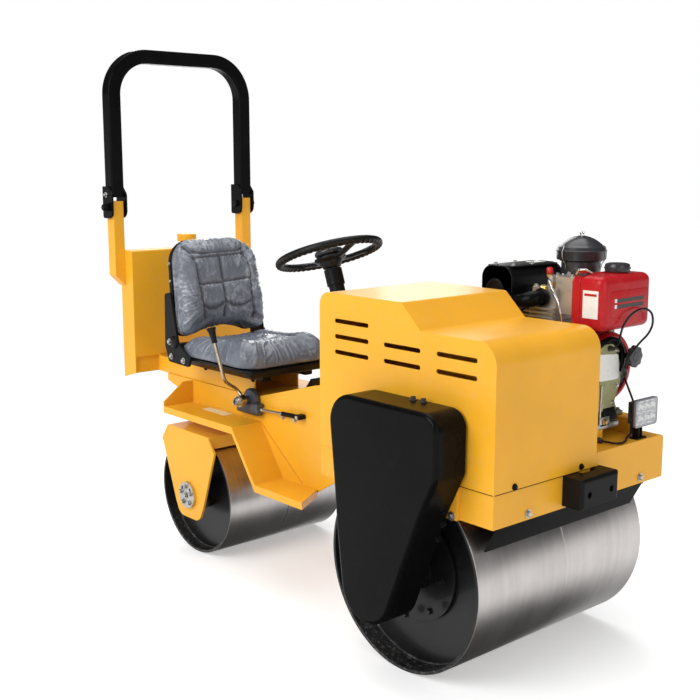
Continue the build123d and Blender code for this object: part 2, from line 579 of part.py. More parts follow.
# ---------------------------------------------------------------- steering
lean = (-sin(COLUMN_TILT), cos(COLUMN_TILT))
column_length = (WHEEL_CENTRE_Z - DECK_TOP) / cos(COLUMN_TILT)
column_plane = Plane(origin=(COLUMN_FOOT_X, SEAT_Y, DECK_TOP), x_dir=(cos(COLUMN_TILT), 0, sin(COLUMN_TILT)),
                     z_dir=(lean[0], 0, lean[1]))
with BuildPart() as steering_column:
    block((COLUMN_FOOT_X - 60, COLUMN_FOOT_X + 60), (SEAT_Y - 50, SEAT_Y + 50), (DECK_TOP, DECK_TOP + 8))
    with BuildSketch(column_plane.offset(8)):
        Circle(24)
    extrude(amount=column_length - 66)
    with BuildSketch(column_plane.offset(column_length - 100)):
        Circle(28)
    extrude(amount=50)
finish(steering_column, "steering_column")

with BuildPart() as steering_wheel:
    with Locations(column_plane.offset(column_length - 1)):
        Cylinder(44, 26)
    column_axis = Axis(column_plane.origin, column_plane.z_dir)
    fillet(steering_wheel.edges().filter_by(GeomType.CIRCLE).sort_by(column_axis)[-1], 16)
    with Locations(column_plane.offset(column_length - 29)):
        Cone(27, 38, 34)
    with Locations(column_plane.offset(column_length)):
        Torus(WHEEL_R - 12.5, 12.5)
    for spoke in (-5, 85, 175):
        with Locations(column_plane.location * Location((0, 0, column_length - 10), (0, 0, spoke))):
            with Locations((WHEEL_R / 2 - 4, 0, 0)):
                Box(WHEEL_R - 24, 30, 9)
finish(steering_wheel, "steering_wheel")

# ---------------------------------------------------------------- pedal and drive lever
with BuildPart() as pedal:
    block((FRONT_X - 846, FRONT_X - 740), (SEAT_Y + 62, SEAT_Y + 84), (DECK_TOP, DECK_TOP + 10))
    side_plate([(FRONT_X - 800, DECK_TOP + 10), (FRONT_X - 786, DECK_TOP + 10), (FRONT_X - 742, DECK_TOP + 62),
                (FRONT_X - 752, DECK_TOP + 70)], SEAT_Y + 96, 46)
finish(pedal, "pedal")

LEVER_X, LEVER_Z = FRONT_X - 930.0, 568.0
lever_face = neck_right
with BuildPart() as lever_block:
    block((LEVER_X - 58, LEVER_X + 62), (lever_face - 26, lever_face), (LEVER_Z - 46, LEVER_Z - 8))
    across(LEVER_X + 12, LEVER_Z + 4, 38, (lever_face - 22, lever_face))
    across(LEVER_X + 12, LEVER_Z + 4, 9, (lever_face - 66, lever_face - 22))
    block((LEVER_X + 34, LEVER_X + 74), (lever_face - 34, lever_face - 4), (LEVER_Z - 36, LEVER_Z - 2))
finish(lever_block, "lever_block")

lever_y = lever_face - 52
with BuildPart() as lever_rod:
    across(LEVER_X + 12, LEVER_Z + 4, 20, (lever_face - 64, lever_face - 44))
    across(LEVER_X + 12, LEVER_Z + 4, 9.05, (lever_face - 65, lever_face - 43), mode=Mode.SUBTRACT)
    with BuildLine() as lever_line:
        FilletPolyline((LEVER_X + 12, lever_y, LEVER_Z + 20), (LEVER_X - 8, lever_y - 5, LEVER_Z + 42),
                       (LEVER_X + 38, lever_y - 84, LEVER_Z + 84), (LEVER_X - 10, lever_y - 87, LEVER_Z + 205),
                       radius=(14, 24))
    with BuildSketch(Plane(origin=lever_line.line @ 0, z_dir=lever_line.line % 0)):
        Circle(5.5)
    sweep(path=lever_line.line)
finish(lever_rod, "lever_rod")

with BuildPart() as lever_knob:
    knob_end = lever_line.line @ 1
    with Locations(Plane(origin=knob_end, z_dir=lever_line.line % 1)):
        Cone(11, 15, 52, align=(Align.CENTER, Align.CENTER, Align.MIN))
finish(lever_knob, "lever_knob")

with BuildPart() as lever_link:
    link_plane = Plane(origin=(LEVER_X + 75, lever_face - 20, LEVER_Z - 20), z_dir=(1, 0, 0.05))
    with Locations(link_plane):
        Cylinder(5, 120, align=(Align.CENTER, Align.CENTER, Align.MIN))
    with Locations(link_plane.offset(120)):
        Cylinder(8, 90, align=(Align.CENTER, Align.CENTER, Align.MIN))
    block((LEVER_X + 268, LEVER_X + 290), (lever_face - 28, lever_face), (LEVER_Z - 18, LEVER_Z - 2))
finish(lever_link, "lever_link")

# ---------------------------------------------------------------- engine
ENGINE_Y = CENTRE_Y + 226.0  # crankshaft line
CRANK_Z = 790.0
with BuildPart() as engine_mount:
    for y in (ENGINE_Y - 86, ENGINE_Y + 86):
        block((FRONT_X - 60, FRONT_X + 262), (y - 26, y + 26), (FRAME_TOP, FRAME_TOP + 44))
        block((FRONT_X - 61, FRONT_X + 258), (y - 21, y + 21), (FRAME_TOP - 1, FRAME_TOP + 39), mode=Mode.SUBTRACT)
finish(engine_mount, "engine_mount")

deck = FRAME_TOP + 44
with BuildPart() as engine_block:
    block((FRONT_X - 20, FRONT_X + 148), (ENGINE_Y - 104, ENGINE_Y + 104), (deck, deck + 24))
    block((FRONT_X - 10, FRONT_X + 148), (ENGINE_Y - 88, ENGINE_Y + 88), (deck + 20, 872))
    across(FRONT_X + 60, 710, 40, (ENGINE_Y - 112, ENGINE_Y - 70))
    with Locations((FRONT_X - 40, ENGINE_Y, CRANK_Z)):
        Cylinder(70, 60, rotation=(0, 90, 0))
finish(engine_block, "engine_block")

with BuildPart() as flywheel_housing:
    with Locations((FRONT_X + 170, ENGINE_Y, CRANK_Z)):
        Cylinder(98, 44, rotation=(0, 90, 0))
    block((FRONT_X + 148, FRONT_X + 192), (ENGINE_Y - 98, ENGINE_Y + 98), (692, CRANK_Z + 20))
    fillet(flywheel_housing.edges().filter_by(Axis.X).group_by(Axis.Z)[0], 16)
    # saddle under the fuel tank and the foot on the deck
    block((FRONT_X + 150, FRONT_X + 190), (ENGINE_Y - 70, ENGINE_Y + 80), (CRANK_Z + 60, 908))
    block((FRONT_X + 152, FRONT_X + 191), (ENGINE_Y - 90, ENGINE_Y + 90), (deck, 693))
    block((FRONT_X + 152, FRONT_X + 222), (ENGINE_Y - 90, ENGINE_Y + 90), (deck, 688))
finish(flywheel_housing, "flywheel_housing")

HEAD_X, HEAD_Y = FRONT_X + 72.0, ENGINE_Y - 46.0
with BuildPart() as cylinder_head:
    block((HEAD_X - 52, HEAD_X + 40), (HEAD_Y - 48, HEAD_Y + 62), (872, 960))
    for k in range(7):
        z = 880 + 12 * k
        block((HEAD_X - 70, HEAD_X + 44), (HEAD_Y - 62, HEAD_Y + 76), (z, z + 5))
    block((HEAD_X - 44, HEAD_X + 40), (HEAD_Y - 44, HEAD_Y + 56), (960, 1010))
    # rocker cover towards the fuel tank, and the injector's stub
    block((HEAD_X + 10, HEAD_X + 88), (HEAD_Y - 30, HEAD_Y + 46), (940, 1044))
    with Locations((HEAD_X + 14, HEAD_Y - 34, 1020)):
        Cylinder(9, 50)
finish(cylinder_head, "cylinder_head")

RECOIL_Y, RECOIL_Z = ENGINE_Y + 10.0, CRANK_Z + 4.0
with BuildPart() as recoil_starter:
    with Locations((FRONT_X + 214, RECOIL_Y, RECOIL_Z)):
        Cylinder(103, 44, rotation=(0, 90, 0))
    fillet(recoil_starter.edges().filter_by(GeomType.CIRCLE).group_by(Axis.X)[-1], 12)
    with Locations((FRONT_X + 242, RECOIL_Y, RECOIL_Z)):
        Cylinder(62, 18, rotation=(0, 90, 0))
finish(recoil_starter, "recoil_starter")

KNOB_Y, KNOB_Z = ENGINE_Y + 44.0, CRANK_Z + 38.0
with BuildPart() as throttle_knob:
    with BuildSketch(Plane.YZ.offset(FRONT_X + 268)):
        with Locations((KNOB_Y, KNOB_Z)):
            RegularPolygon(31, 8)
    extrude(amount=22)
    with BuildSketch(Plane.YZ.offset(FRONT_X + 251)):
        with Locations((KNOB_Y, KNOB_Z)):
            Circle(9)
    extrude(amount=18)
finish(throttle_knob, "throttle_knob")

FUEL_TANK = ((FRONT_X + 172, FRONT_X + 288), (CENTRE_Y + 110, CENTRE_Y + 332), (909, 1058))
with BuildPart() as fuel_tank:
    block(*FUEL_TANK)
    fillet(fuel_tank.edges().filter_by(Axis.X), 18)
    fillet(fuel_tank.edges().filter_by(Axis.Z), 14)
finish(fuel_tank, "fuel_tank")

with BuildPart() as fuel_cap:
    with Locations((FRONT_X + 232, CENTRE_Y + 246, 1062)):
        Cylinder(24, 8)
    with Locations((FRONT_X + 232, CENTRE_Y + 246, 1075)):
        Cylinder(36, 19)
    fillet(fuel_cap.edges().group_by(Axis.Z)[-1], 4)
finish(fuel_cap, "fuel_cap")

FILTER_X, FILTER_Y = FRONT_X + 80.0, CENTRE_Y + 285.0
filter_profile = [  # (radius, z) from the foot to the top
    (30, 1001), (30, 1040), (54, 1046), (54, 1082), (67, 1085), (68, 1118), (62, 1124), (34, 1144), (8, 1152),
]
with BuildPart() as air_filter:
    with BuildSketch(Plane.XZ.offset(-FILTER_Y)):
        with BuildLine():
            Polyline((FILTER_X, filter_profile[0][1]), *[(FILTER_X + r, z) for r, z in filter_profile],
                     (FILTER_X, filter_profile[-1][1]), close=True)
        make_face()
    revolve(axis=Axis((FILTER_X, FILTER_Y, 0), (0, 0, 1)))
    block((FILTER_X - 24, FILTER_X + 24), (HEAD_Y + 56, FILTER_Y + 20), (962, 1002))
finish(air_filter, "air_filter")

with BuildPart() as muffler:
    rounded_side_plate([(FRONT_X - 146, 922), (FRONT_X - 36, 922), (FRONT_X - 36, 1060), (FRONT_X - 146, 1060)],
                       [26, 26, 34, 34], CENTRE_Y + 350, 232)
    across(FRONT_X - 91, 992, 28, (CENTRE_Y + 112, CENTRE_Y + 119))
    block((FRONT_X - 40, HEAD_X - 44), (HEAD_Y - 2, HEAD_Y + 44), (966, 1000))
    block((FRONT_X - 66, FRONT_X - 14), (ENGINE_Y - 22, ENGINE_Y + 22), (862, 923))
finish(muffler, "muffler")

with BuildPart() as intake_elbow:
    with BuildLine() as elbow_line:
        FilletPolyline((HEAD_X - 6, HEAD_Y - 44, 985), (HEAD_X - 6, HEAD_Y - 92, 985),
                       (HEAD_X - 70, HEAD_Y - 92, 985), radius=38)
    with BuildSketch(Plane(origin=elbow_line.line @ 0, z_dir=elbow_line.line % 0)):
        Circle(18)
    sweep(path=elbow_line.line)
finish(intake_elbow, "intake_elbow")

# throttle cable: from the starter's face over the front of the tank and down to the deck
CABLE_R = 3.0
cable_route = [  # (x, y, z) from the front drum's axle, the middle plane and the ground
    (252, 190, 856), (278, 190, 856), (299, 174, 884), (301, 180, 920), (301, 214, 950), (300, 256, 962),
    (300, 290, 962), (301, 320, 946), (301, 326, 914), (301, 304, 888), (300, 272, 872), (299, 242, 852),
    (292, 222, 824), (280, 227, 790), (273, 250, 756), (269, 278, 722), (267, 303, 685), (267, 317, 648),
    (271, 304, 617), (281, 272, 608), (290, 240, 607), (306, 214, 607), (321, 188, 607), (324, 158, 607),
    (306, 137, 610), (276, 137, 610),
]
cable_points = [Vector(FRONT_X + x, CENTRE_Y + y, z) for x, y, z in cable_route]
cable_radii = []
for before, point, after in zip(cable_points, cable_points[1:], cable_points[2:]):
    arriving, leaving = point - before, after - point
    half_turn = radians(arriving.get_angle(leaving)) / 2
    cable_radii.append(0.45 * min(arriving.length, leaving.length) / tan(half_turn))
with BuildPart() as throttle_cable:
    with BuildLine() as cable_line:
        FilletPolyline(*cable_points, radius=cable_radii)
    with BuildSketch(Plane(origin=cable_line.line @ 0, z_dir=cable_line.line % 0)):
        Circle(CABLE_R)
    sweep(path=cable_line.line)
finish(throttle_cable, "throttle_cable")
cable_length = sum(edge.length for edge in cable_line.edges())
print("cable: arc radii", [round(radius) for radius in cable_radii], "length", round(cable_length),
      "volume per section", round(throttle_cable.part.volume / (pi * CABLE_R**2)))

with BuildPart() as cable_ferrules:
    for point, foot in ((cable_points[0], FRONT_X + 236), (cable_points[-1], FRONT_X + 262)):
        with Locations(((point.X + foot) / 2, point.Y, point.Z)):
            Cylinder(6, point.X - foot, rotation=(0, 90, 0))
finish(cable_ferrules, "cable_ferrules")
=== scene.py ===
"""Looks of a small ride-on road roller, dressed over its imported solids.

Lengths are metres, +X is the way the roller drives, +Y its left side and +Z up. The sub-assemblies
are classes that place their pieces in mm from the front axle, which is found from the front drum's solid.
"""
from __future__ import annotations

import logging
from dataclasses import dataclass
from enum import Enum
from math import atan2, copysign, cos, exp, hypot, pi, radians, sin, tan
from typing import Any, Callable, Iterable, Sequence

import bmesh
import bpy
from mathutils import Matrix, Vector, noise


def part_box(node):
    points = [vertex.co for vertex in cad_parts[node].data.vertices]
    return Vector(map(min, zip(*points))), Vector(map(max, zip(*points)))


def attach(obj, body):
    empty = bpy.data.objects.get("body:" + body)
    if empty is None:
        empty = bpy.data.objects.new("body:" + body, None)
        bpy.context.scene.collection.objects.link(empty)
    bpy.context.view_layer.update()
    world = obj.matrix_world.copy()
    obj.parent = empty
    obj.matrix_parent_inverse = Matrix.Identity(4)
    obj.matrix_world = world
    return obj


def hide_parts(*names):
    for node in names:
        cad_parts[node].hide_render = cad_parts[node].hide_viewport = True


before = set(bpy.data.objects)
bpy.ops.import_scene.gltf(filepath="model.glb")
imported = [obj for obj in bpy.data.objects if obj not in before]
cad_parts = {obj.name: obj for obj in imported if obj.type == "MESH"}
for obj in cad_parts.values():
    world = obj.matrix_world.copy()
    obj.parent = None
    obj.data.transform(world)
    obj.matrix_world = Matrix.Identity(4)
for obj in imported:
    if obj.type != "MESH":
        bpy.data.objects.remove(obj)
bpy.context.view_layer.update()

log = logging.getLogger("roller")

Point = Sequence[float]
Colour = tuple[float, float, float]
Pairs = Sequence[tuple[float, float]]
Socket, Mesh, Thing, Material = bpy.types.NodeSocket, bpy.types.Mesh, bpy.types.Object, bpy.types.Material

MM = 0.001
UP, AHEAD, LEFT, RIGHT = (0, 0, 1), (1, 0, 0), (0, 1, 0), (0, -1, 0)


# ------------------------------------------------------------------------------ node trees
def operator(operation: str, swapped: bool = False) -> Callable[["Num", Any], "Num"]:
    """Arithmetic method that is worked out by a Math node.

    Args:
        operation: The node's operation.
        swapped: Whether the other value comes first.

    Returns:
        The method.
    """
    def work(number: "Num", other: Any) -> "Num":
        """Feed both values to the node."""
        return number.tree.math(operation, *((other, number) if swapped else (number, other)))
    return work


@dataclass(frozen=True)
class Num:
    """A number socket of a tree, which takes part in ordinary arithmetic."""

    tree: "Tree"
    socket: Socket

    __add__ = __radd__ = operator("ADD")
    __mul__ = __rmul__ = operator("MULTIPLY")
    __sub__, __rsub__ = operator("SUBTRACT"), operator("SUBTRACT", True)
    __truediv__, __pow__ = operator("DIVIDE"), operator("POWER")

    def sine(self) -> "Num":
        """Sine of the value."""
        return self.tree.math("SINE", self)

    def absolute(self) -> "Num":
        """Value without its sign."""
        return self.tree.math("ABSOLUTE", self)

    def within(self, low: float, high: float) -> "Num":
        """Smooth step from 0 at low to 1 at high.

        Args:
            low: Value that gives 0.
            high: Value that gives 1.

        Returns:
            The stepped value.
        """
        return self.tree.out("ShaderNodeMapRange", {"interpolation_type": "SMOOTHSTEP"}, {"Value": self,
            "From Min": low, "From Max": high})


@dataclass
class Tree:
    """A shader or geometry tree that is built by calls."""

    tree: bpy.types.NodeTree

    def node(self, kind: str, settings: dict[str, Any] | None = None,
            sockets: dict[str | int, Any] | None = None) -> bpy.types.Node:
        """Add one node, with its settings made before its sockets are fed.

        Args:
            kind: The node's type.
            settings: Properties of the node; "stops" are a ramp's (position, colour) pairs.
            sockets: Values or links of its inputs, by name or number.

        Returns:
            The new node.
        """
        made = self.tree.nodes.new(kind)
        for name, value in (settings or {}).items():
            if name == "stops":
                ramp = made.color_ramp
                while len(ramp.elements) < len(value):
                    ramp.elements.new(0.5)
                for element, (position, colour) in zip(ramp.elements, value):
                    element.position = position
                    element.color = (*colour, 1.0)
            else:
                setattr(made, name, value)
        for name, value in (sockets or {}).items():
            self.feed(made.inputs[name], value)
        return made

    def feed(self, socket: Socket, value: Any) -> None:
        """Link or set one input socket.

        Args:
            socket: The input.
            value: A wrapped number, an output socket, or a plain value.
        """
        if isinstance(value, Num):
            value = value.socket
        if isinstance(value, Socket):
            self.tree.links.new(value, socket)
        elif isinstance(value, tuple) and len(value) == 3 and socket.type == "RGBA":
            socket.default_value = (*value, 1.0)
        else:
            socket.default_value = value

    def out(self, kind: str, settings: dict[str, Any] | None = None,
            sockets: dict[str | int, Any] | None = None, output: str | int = 0) -> Num:
        """Add one node and wrap one of its outputs as a number."""
        return Num(self, self.node(kind, settings, sockets).outputs[output])

    def math(self, operation: str, *values: Any) -> Num:
        """Add one Math node.

        Args:
            operation: The node's operation.
            values: Its one to three inputs.

        Returns:
            The result.
        """
        return self.out("ShaderNodeMath", {"operation": operation}, dict(enumerate(values)))

    def mix(self, factor: Any, first: Any, second: Any) -> Socket:
        """Mix two colours.

        Args:
            factor: Share of the second colour.
            first: Colour at 0.
            second: Colour at 1.

        Returns:
            The mixed colour's socket.
        """
        made = self.node("ShaderNodeMix", {"data_type": "RGBA"}, {0: factor, 6: first, 7: second})
        return made.outputs[2]


class ShaderTree(Tree):
    """The tree of one material, with the few patterns that all finishes use."""

    def __init__(self, name: str) -> None:
        """Make a new material with an empty tree and a Principled shader.

        Args:
            name: The material's name.
        """
        self.material = bpy.data.materials.new(name)
        self.material.use_nodes = True
        super().__init__(self.material.node_tree)
        self.tree.nodes.clear()
        self.shader = self.node("ShaderNodeBsdfPrincipled")
        output = self.node("ShaderNodeOutputMaterial")
        self.tree.links.new(self.shader.outputs[0], output.inputs[0])
        self.place = self.node("ShaderNodeTexCoord").outputs["Object"]

    def noise(self, scale: float, detail: float = 3.0, rough: float = 0.5, place: Any = None,
            distortion: float = 0.0) -> Num:
        """Noise of a given fineness.

        Args:
            scale: Lumps per metre.
            detail: Octaves.
            rough: Strength of the finer octaves.
            place: Coordinates, or the object's own.
            distortion: How much the pattern is stirred.

        Returns:
            A value of about 0 to 1.
        """
        return self.out("ShaderNodeTexNoise", None, {"Vector": place or self.place, "Scale": scale,
            "Detail": detail, "Roughness": rough, "Distortion": distortion})

    def stretched(self, scales: Point) -> Socket:
        """Object coordinates with each axis scaled."""
        return self.node("ShaderNodeMapping", None, {"Vector": self.place, "Scale": tuple(scales)}).outputs[0]

    def axis(self, index: int) -> Num:
        """One object coordinate in metres."""
        return self.out("ShaderNodeSeparateXYZ", None, {0: self.place}, index)

    def bump(self, height: Num, distance: float, strength: float = 1.0, under: Any = None) -> Socket:
        """Turn a height into a normal.

        Args:
            height: Height, 0 to 1.
            distance: What a height of 1 is, in metres.
            strength: How strongly it shows.
            under: A normal that lies below.

        Returns:
            The normal's socket.
        """
        sockets: dict[str | int, Any] = {"Height": height, "Distance": distance, "Strength": strength}
        if under is not None:
            sockets["Normal"] = under
        return self.node("ShaderNodeBump", None, sockets).outputs[0]

    def soft_edge(self, radius: float) -> Socket:
        """Normal that rounds hard edges over a small radius."""
        return self.node("ShaderNodeBevel", {"samples": 4}, {"Radius": radius}).outputs[0]

    def edge_mask(self, rounded: Socket) -> Num:
        """How far a rounded normal leaves the true one: 0 on flats, 1 on hard edges.

        Args:
            rounded: The rounded normal.

        Returns:
            The mask.
        """
        flat = self.node("ShaderNodeNewGeometry").outputs["Normal"]
        dot = self.node("ShaderNodeVectorMath", {"operation": "DOT_PRODUCT"}, {0: rounded, 1: flat})
        return 1.0 - Num(self, dot.outputs["Value"])

    def dress(self, **sockets: Any) -> Material:
        """Feed the shader and hand the material over.

        Args:
            sockets: Shader inputs, with underscores for spaces.

        Returns:
            The finished material.
        """
        for name, value in sockets.items():
            self.feed(self.shader.inputs[name.replace("_", " ")], value)
        return self.material


# ------------------------------------------------------------------------------ finishes
@dataclass(frozen=True)
class Finish:
    """A finish with a name and a material that is made once."""

    name: str
    colour: Colour = (0.5, 0.5, 0.5)
    roughness: float = 0.4

    def material(self) -> Material:
        """The finish's material, made at its first use."""
        known = bpy.data.materials.get(self.name)
        return known if known is not None else self.build(ShaderTree(self.name))

    def build(self, tree: ShaderTree) -> Material:
        """Make the material; each kind of finish has its own."""
        raise NotImplementedError

    def shade(self, amount: float) -> Colour:
        """The finish's colour made lighter or darker by a factor."""
        return tuple(min(1.0, channel * amount) for channel in self.colour)


@dataclass(frozen=True)
class Paint(Finish):
    """Sprayed and baked paint on folded plate, with orange peel, rounded edges and a little dust."""

    coat: float = 0.35
    gloss: float = 0.5
    peel: float = 0.00022
    mottle: float = 0.07
    dust: float = 0.10
    dust_colour: Colour = (0.55, 0.50, 0.42)
    edge: float = 0.0022

    def build(self, tree: ShaderTree) -> Material:
        """Mottled colour, slight dust, edges lightened for wear and as a painted highlight, and orange peel.

        Args:
            tree: The material's tree.

        Returns:
            The finished material.
        """
        cloud = tree.noise(3.2, 4, 0.55)
        fine = tree.noise(38, 3, 0.6)
        rounded = tree.soft_edge(self.edge)
        # Edges are lightened: partly wear, partly a painted edge highlight.
        edge_wear_and_highlight = tree.edge_mask(rounded).within(0.02, 0.30)
        body = tree.mix(cloud.within(0.25, 0.75), self.shade(1 - self.mottle), self.shade(1 + self.mottle))
        lit = tree.mix(edge_wear_and_highlight * 0.35, body, self.shade(1.25))
        specks = tree.noise(150, 2, 0.6).within(0.66, 0.80) * cloud.within(0.42, 0.70)
        haze = (fine.within(0.45, 0.85) * 0.6 + specks * 0.7) * self.dust
        colour = tree.mix(haze, lit, self.dust_colour)
        peel = tree.noise(310, 2, 0.45)
        return tree.dress(Base_Color=colour, Roughness=fine * 0.12 + haze * 0.5 + (self.roughness - 0.06),
            Coat_Weight=self.coat, Coat_Roughness=0.14, Specular_IOR_Level=self.gloss, Normal=tree.bump(peel,
            self.peel, 0.5, rounded))


@dataclass(frozen=True)
class RolledSteel(Finish):
    """Ground steel on a drum's outside, with fine rings and scratches; ends and inside are painted black."""

    centre: tuple[float, float] = (0.0, 0.0)
    radius: float = 0.28
    ring_scale: float = 900.0
    paint: Colour = (0.008, 0.008, 0.0085)

    def build(self, tree: ShaderTree) -> Material:
        """Rings across the width, cloudy tone and short scratches, masked by the distance from the axle.

        Args:
            tree: The material's tree.

        Returns:
            The finished material.
        """
        rings = tree.noise(1.0, 3, 0.6, tree.stretched((14, self.ring_scale, 14)))
        broad = tree.noise(1.0, 2, 0.5, tree.stretched((3, 60, 3)))
        cloud = tree.noise(7, 4, 0.6)
        scratch = tree.noise(1.0, 2, 0.5, tree.stretched((40, 900, 40)), 0.4).within(0.66, 0.74)
        body = tree.mix(cloud.within(0.3, 0.8), self.shade(0.86), self.shade(1.08))
        lined = tree.mix(broad.within(0.35, 0.75) * 0.35, body, self.shade(1.18))
        colour = tree.mix(scratch * 0.3, lined, self.shade(0.6))
        across, above = tree.axis(0) - self.centre[0], tree.axis(2) - self.centre[1]
        bare = ((across * across + above * above) ** 0.5).within(self.radius - 0.0018, self.radius - 0.0008)
        low = 1.0 - tree.axis(2).within(0.02, 0.16)
        dusty = tree.noise(120, 3, 0.6).within(0.50, 0.70) * low * 0.7 + cloud.within(0.5, 0.8) * 0.12
        return tree.dress(Base_Color=tree.mix(bare, tree.mix(dusty, self.paint, (0.16, 0.15, 0.14)), colour),
            Metallic=bare, Roughness=rings * 0.12 + cloud * 0.10 + (self.roughness - 0.10) + (1.0 - bare)
            * 0.12, Normal=tree.bump(rings * 0.7 + scratch * 0.3, 0.00006, 0.5))


@dataclass(frozen=True)
class Metal(Finish):
    """Bright metal, such as zinc plate or chrome, with soft marks."""

    marks: float = 90.0
    spread: float = 0.10
    bump: float = 0.00008
    edge: float = 0.0008

    def build(self, tree: ShaderTree) -> Material:
        """Marked tone and roughness with rounded edges.

        Args:
            tree: The material's tree.

        Returns:
            The finished material.
        """
        marks = tree.noise(self.marks, 4, 0.6)
        blots = tree.noise(self.marks / 9, 3, 0.5)
        rounded = tree.soft_edge(self.edge)
        body = tree.mix(blots.within(0.3, 0.75), self.shade(0.82), self.shade(1.10))
        return tree.dress(Base_Color=tree.mix(marks.within(0.55, 0.85) * 0.5, body, self.shade(0.62)),
            Metallic=1.0, Roughness=marks * self.spread + (self.roughness - self.spread / 2),
            Normal=tree.bump(marks, self.bump, 0.5, rounded))


@dataclass(frozen=True)
class Casting(Finish):
    """Sand-cast metal, bare or painted, with a grainy skin and oily hollows."""

    metallic: float = 0.7
    grain: float = 420.0
    depth: float = 0.00035
    grime: Colour = (0.05, 0.045, 0.04)

    def build(self, tree: ShaderTree) -> Material:
        """Grainy bump with darker oily patches.

        Args:
            tree: The material's tree.

        Returns:
            The finished material.
        """
        grain = tree.noise(self.grain, 3, 0.65)
        oily = tree.noise(26, 4, 0.6).within(0.50, 0.78)
        rounded = tree.soft_edge(0.0015)
        # Edges are lightened: partly wear, partly a painted edge highlight.
        edge_wear_and_highlight = tree.edge_mask(rounded).within(0.03, 0.35)
        body = tree.mix(grain.within(0.3, 0.8) * 0.5, self.shade(0.85), self.shade(1.2))
        dirty = tree.mix(oily * 0.6, body, self.grime)
        return tree.dress(Base_Color=tree.mix(edge_wear_and_highlight * 0.5, dirty, self.shade(1.5)), Metallic=self.metallic,
            Roughness=grain * 0.2 + (self.roughness - 0.1) - oily * 0.12, Normal=tree.bump(grain, self.depth,
            0.6, rounded))


@dataclass(frozen=True)
class Plastic(Finish):
    """Moulded plastic or rubber with a fine texture and faint scuffs."""

    grain: float = 900.0
    depth: float = 0.00010
    scuff: float = 0.25
    coat: float = 0.0
    gloss: float = 0.3

    def build(self, tree: ShaderTree) -> Material:
        """Fine leathered texture with scuffs and a trace of dust.

        Args:
            tree: The material's tree.

        Returns:
            The finished material.
        """
        grain = tree.out("ShaderNodeTexVoronoi", {"feature": "SMOOTH_F1"}, {"Vector": tree.place,
            "Scale": self.grain, "Smoothness": 0.6})
        scuffs = tree.noise(34, 4, 0.65, distortion=0.6).within(0.55, 0.80)
        rounded = tree.soft_edge(0.0012)
        # Edges are lightened: partly wear, partly a painted edge highlight.
        edge_wear_and_highlight = tree.edge_mask(rounded).within(0.04, 0.40)
        body = tree.mix(scuffs * self.scuff, self.colour, tuple(c + 0.02 for c in self.colour))
        return tree.dress(Base_Color=tree.mix(edge_wear_and_highlight * 0.4, body, tuple(c + 0.04 for c in self.colour)),
            Roughness=scuffs * 0.14 + (self.roughness - 0.05), Coat_Weight=self.coat, Coat_Roughness=0.1,
            Specular_IOR_Level=self.gloss, Normal=tree.bump(grain, self.depth, 0.6, rounded))


@dataclass(frozen=True)
class FilmedVinyl(Finish):
    """Grained vinyl under a loose clear film whose creases catch the light."""

    film: float = 1.0

    def build(self, tree: ShaderTree) -> Material:
        """Leather grain below, smooth film with a few long creases above; the creases' whitish highlights are
        painted into the colour.

        Args:
            tree: The material's tree.

        Returns:
            The finished material.
        """
        grain = tree.out("ShaderNodeTexVoronoi", {"feature": "F1"}, {"Vector": tree.place, "Scale": 520.0})
        broad = tree.noise(1.0, 2, 0.5, tree.stretched((26, 15, 9)), 0.9)
        ridge = tree.math("MAXIMUM", 1.0 - (broad - 0.5).absolute() * 14.0, 0.0)
        fine = tree.noise(1.0, 2, 0.5, tree.stretched((52, 34, 20)), 0.7)
        crease = tree.math("MAXIMUM", 1.0 - (fine - 0.5).absolute() * 18.0, 0.0)
        loose = tree.noise(7, 2, 0.5).within(0.40, 0.66) * self.film
        lines = (ridge ** 2.0 * 0.65 + crease ** 2.0 * 0.35) * loose
        tone = tree.mix(tree.noise(11, 3, 0.5).within(0.3, 0.7), self.shade(0.88), self.shade(1.10))
        grained = tree.mix(grain * 0.25, tone, self.shade(0.75))
        # The film's creases get a painted whitish-blue highlight in the base colour.
        with_painted_highlights = tree.mix(lines * 0.42, grained, (0.66, 0.69, 0.76))
        # Painted shade: the vinyl is darkened along its seams from the "sewn" attribute.
        sewn = tree.out("ShaderNodeAttribute", {"attribute_name": "sewn"}, None, "Fac")
        shaded = tree.mix(sewn * 0.72, with_painted_highlights, self.shade(0.12))
        skin = tree.bump(grain, 0.00010, 0.3)
        return tree.dress(Base_Color=shaded, Roughness=(1.0 - loose) * 0.16 + (self.roughness - 0.10),
            Coat_Weight=loose * 0.6 + 0.3, Coat_Roughness=0.10, Normal=tree.bump(ridge * 0.6 + crease * 0.4,
            0.0022, 0.6 * self.film, skin))


@dataclass(frozen=True)
class Plate(Finish):
    """A plain printed or etched plate: bare, with nothing written on it."""

    metallic: float = 0.0

    def build(self, tree: ShaderTree) -> Material:
        """Nearly even colour with faint soiling.

        Args:
            tree: The material's tree.

        Returns:
            The finished material.
        """
        soil = tree.noise(60, 4, 0.6)
        return tree.dress(Base_Color=tree.mix(soil.within(0.45, 0.85) * 0.5, self.colour, self.shade(0.72)),
            Metallic=self.metallic, Roughness=soil * 0.15 + (self.roughness - 0.08), Normal=tree.bump(soil,
            0.0001, 0.3))


@dataclass(frozen=True)
class ClearLens(Finish):
    """The lamp's clear moulded window."""

    def build(self, tree: ShaderTree) -> Material:
        """Clear, slightly grey and faintly rippled.

        Args:
            tree: The material's tree.

        Returns:
            The finished material.
        """
        ripple = tree.noise(160, 2, 0.5)
        return tree.dress(Base_Color=self.colour, Alpha=0.28, Roughness=ripple * 0.05 + self.roughness,
            Coat_Weight=0.6, Normal=tree.bump(ripple, 0.0002, 0.3))


